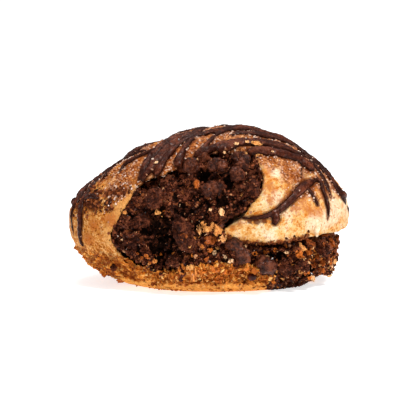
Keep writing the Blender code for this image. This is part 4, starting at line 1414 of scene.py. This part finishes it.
def strewn_things(dough, filling, strands, chips, flaky):
    """Crumbs, sugar and small flakes, each kind as one piece with its paint and slot."""
    trees = [tree_of(dough), tree_of(filling)]
    with_chips = trees + [tree_of(chips)]
    front = with_chips + [tree_of(strands)]
    lumps = [crumb_model(7, 5, 0.2, seed) for seed in range(6)]
    bits = [crumb_model(5, 4, 0.22, seed + 20) for seed in range(6)]
    slivers = [flake_model(seed) for seed in range(8)]
    grains = [sugar_model(seed) for seed in range(5)]

    crumbly = 0.12 + 0.88 * mask_of(filling, "crumbly")
    band = mask_of(dough, "band") + 0.05 * mask_of(dough, "heel")
    upper = ease(14 * MM, 20 * MM, points_of(dough)[:, 2])
    right = ease(10 * MM, 22 * MM, points_of(filling)[:, 0])
    on_filling = Skin(filling, crumbly * (1 - 0.85 * mask_of(filling, "hollow")))
    on_chips = Skin(chips, 1.02 - mask_of(chips, "smooth"))
    on_base = Skin(dough, band * (1 - 0.75 * mask_of(dough, "skirt")) + 0.0001)
    by_filling = Skin(dough, mask_of(dough, "by_filling") + HARDLY)
    on_edge = Skin(filling, mask_of(filling, "edge") + HARDLY)
    on_rim = Skin(dough, mask_of(dough, "rim") + HARDLY)
    on_crust = Skin(dough, mask_of(dough, "sugared") ** 1.5 * upper + HARDLY)
    on_slab = Skin(filling, right + 0.04)
    on_smears = Skin(dough, mask_of(dough, "smeared") * mask_of(dough, "left") + HARDLY)
    on_spills = Skin(dough, mask_of(dough, "spilt") ** 1.5 + HARDLY)
    on_strands = Skin(strands)

    dark = crumb_paint()
    baked = baked_crumb_paint(
        "dough_crumbs",
        (0.0, srgb(112, 48, 14)),
        (0.35, srgb(182, 96, 30)),
        (0.7, srgb(224, 142, 56)),
        (0.97, srgb(248, 194, 118)),
    )
    burnt = baked_crumb_paint(
        "burnt_crumbs", (0.0, srgb(54, 20, 8)), (0.6, srgb(104, 48, 20)), (1.0, srgb(170, 98, 52))
    )
    sweet = sugar_paint()

    # Name, models, surface, what may hide it, count, sizes, rise, seed, paint and slot
    kinds = (
        ("crumbs", lumps, on_filling, with_chips, 2400, (0.45, 1.2), 0.05, 7, dark, FILLING_SLOT),
        ("small_crumbs", bits, on_filling, with_chips, 12500, (0.2, 0.52), 0.1, 8, dark, FILLING_SLOT),
        ("chip_crumbs", bits, on_chips, with_chips, 1500, (0.2, 0.6), 0.15, 9, dark, FILLING_SLOT),
        ("edge_crumbs", bits, by_filling, with_chips, 900, (0.25, 0.8), 0.1, 10, dark, FILLING_SLOT),
        ("gap_crumbs", lumps, on_edge, with_chips, 2600, (0.35, 1.0), 0.4, 18, dark, FILLING_SLOT),
        ("slab_crumbs", bits, on_slab, with_chips, 1100, (0.3, 1.0), 0.25, 19, burnt, FILLING_SLOT),
        ("rim_crumbs", bits, on_rim, with_chips, 420, (0.25, 0.8), 0.1, 16, burnt, DOUGH_SLOT),
        ("smear_crumbs", bits, on_smears, front, 1000, (0.3, 1.0), 0.05, 17, burnt, DOUGH_SLOT),
        ("spilt_crumbs", lumps, on_spills, front, 1500, (0.35, 1.3), 0.15, 20, dark, FILLING_SLOT),
        ("dough_crumbs", bits, on_base, trees, 2600, (0.3, 0.9), 0.1, 11, baked, DOUGH_SLOT),
        ("filling_sugar", grains, on_filling, with_chips, 600, (0.14, 0.3), 0.3, 21, sweet, FILLING_SLOT),
        ("sugar", grains, on_crust, front, 5200, (0.22, 0.46), 0.15, 12, sweet, DOUGH_SLOT),
        ("sugar_on_strands", grains, on_strands, front, 150, (0.25, 0.5), 0.3, 13, sweet, DOUGH_SLOT),
        ("small_flakes", slivers, on_slab, with_chips, 1300, (0.4, 1.5), 0.2, 14, flaky, DOUGH_SLOT),
        ("base_flakes", slivers, on_base, trees, 900, (0.6, 1.9), 0.12, 15, baked, DOUGH_SLOT),
    )
    return [(strewn(*how), paint, slot) for *how, paint, slot in kinds]


def placed_things(dough, filling, strands, flaky):
    """Torn flakes, the bead and the drip, each at its named place, with its paint and slot."""
    return [
        (torn_flakes("flakes", FLAKES, tree_of(filling)), flaky, DOUGH_SLOT),
        (torn_flakes("shards", SHARDS, tree_of(dough)), flaky, DOUGH_SLOT),
        (torn_flakes("crest_flakes", CREST_FLAKES, tree_of(strands)), flaky, DOUGH_SLOT),
        (melted_bead(tree_of(dough)), bead_paint(), FILLING_SLOT),
        (syrup_drip(tree_of(dough)), syrup_paint(), DOUGH_SLOT),
    ]


# The stage


def studio_world():
    """Soft light from overhead, white behind."""
    world = bpy.data.worlds.new("studio")
    SCENE.world = world
    world.use_nodes = True
    nodes = world.node_tree.nodes
    links = world.node_tree.links
    backdrop = nodes["Background"]
    backdrop.inputs["Color"].default_value = (1.0, 1.0, 1.0, 1.0)
    way = nodes.new("ShaderNodeTexCoord")
    height = nodes.new("ShaderNodeSeparateXYZ")
    links.new(way.outputs["Generated"], height.inputs[0])
    overhead = nodes.new("ShaderNodeMapRange")
    overhead.interpolation_type = "SMOOTHSTEP"
    for key, value in OVERHEAD.items():
        overhead.inputs[key].default_value = value
    links.new(height.outputs["Z"], overhead.inputs["Value"])
    seen = nodes.new("ShaderNodeLightPath")
    glow = nodes.new("ShaderNodeMix")
    glow.inputs[3].default_value = 1.0
    links.new(seen.outputs["Is Camera Ray"], glow.inputs[0])
    links.new(overhead.outputs["Result"], glow.inputs[2])
    links.new(glow.outputs[0], backdrop.inputs["Strength"])


def stage():
    """Pale floor, soft light and the camera of the photograph."""
    bpy.ops.mesh.primitive_plane_add(size=6.0, location=(0, 0, -FLOOR_DROP))
    floor = bpy.context.view_layer.objects.active
    floor.name = "floor"
    paint = Paint("floor")
    paint.set(
        Base_Color=(0.75, 0.75, 0.75),
        Roughness=0.9,
        Emission_Color=(1.0, 1.0, 1.0),
        Emission_Strength=0.70,
    )
    floor.data.materials.append(paint.material)
    studio_world()

    for name, place, size, power in LAMPS:
        lamp = bpy.data.lights.new(name, "AREA")
        lamp.size = size
        lamp.energy = power
        holder = bpy.data.objects.new(name, lamp)
        SCENE.collection.objects.link(holder)
        holder.location = place
        aim = CAMERA_AIM - Vector(place)
        holder.rotation_euler = aim.to_track_quat("-Z", "Y").to_euler()

    tilt = math.radians(CAMERA_TILT)
    camera = bpy.data.cameras.new("camera")
    camera.sensor_width = SENSOR
    camera.lens = SENSOR * PIXELS_PER_MM * CAMERA_FAR / MM / IMAGE_WIDE
    camera.clip_start = 0.01
    holder = bpy.data.objects.new("camera", camera)
    SCENE.collection.objects.link(holder)
    holder.location = CAMERA_AIM + CAMERA_FAR * Vector((0, -math.cos(tilt), math.sin(tilt)))
    holder.rotation_euler = (math.radians(90) - tilt, 0, 0)
    camera.shift_x = CAMERA_SHIFT[0] / IMAGE_WIDE
    camera.shift_y = CAMERA_SHIFT[1] / IMAGE_WIDE
    SCENE.camera = holder
    SCENE.view_settings.view_transform = "Standard"
    SCENE.view_settings.look = "None"


def main():
    """The stage, then the pieces from the dough outwards, then their materials."""
    stage()
    dough = bare_dough()
    filling = crumbly_filling(tree_of(dough))
    strands = piped_chocolate(dough)
    knead(dough, strands, tree_of(filling))
    dough_tree = tree_of(dough)
    strand_tree = tree_of(strands)
    above_dough = distance_to(dough_tree, points_of(strands), 2 * MM)
    # How close the chocolate lies to the dough, for painted shade at its edges and between threads
    set_mask(strands, "thin", ease(1.0 * MM, 0.2 * MM, above_dough))
    for thing in (dough, strands):
        normals = points_of(thing, "normal")
        shown = seen_from_outside(points_of(thing), normals, [dough_tree, strand_tree])
        thin_hidden(thing, shown, HIDDEN_SHARE)
    break_up(filling, dough_tree)
    chips = make_chips(filling)
    flaky = flake_paint()
    strewed = strewn_things(dough, filling, strands, chips, flaky)
    placed = placed_things(dough, filling, strands, flaky)

    for thing in (dough, strands, filling, chips, *(piece for piece, _, _ in placed)):
        smooth_shaded(thing)
    dress(dough, dough_paint(), DOUGH_SLOT)
    dress(strands, chocolate_paint(), FILLING_SLOT)
    dress(filling, filling_paint(), FILLING_SLOT)
    dress(chips, chip_paint(), FILLING_SLOT)
    for piece, paint, slot in strewed + placed:
        dress(piece, paint, slot)
    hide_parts("pastry")
    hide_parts("filling")


main()
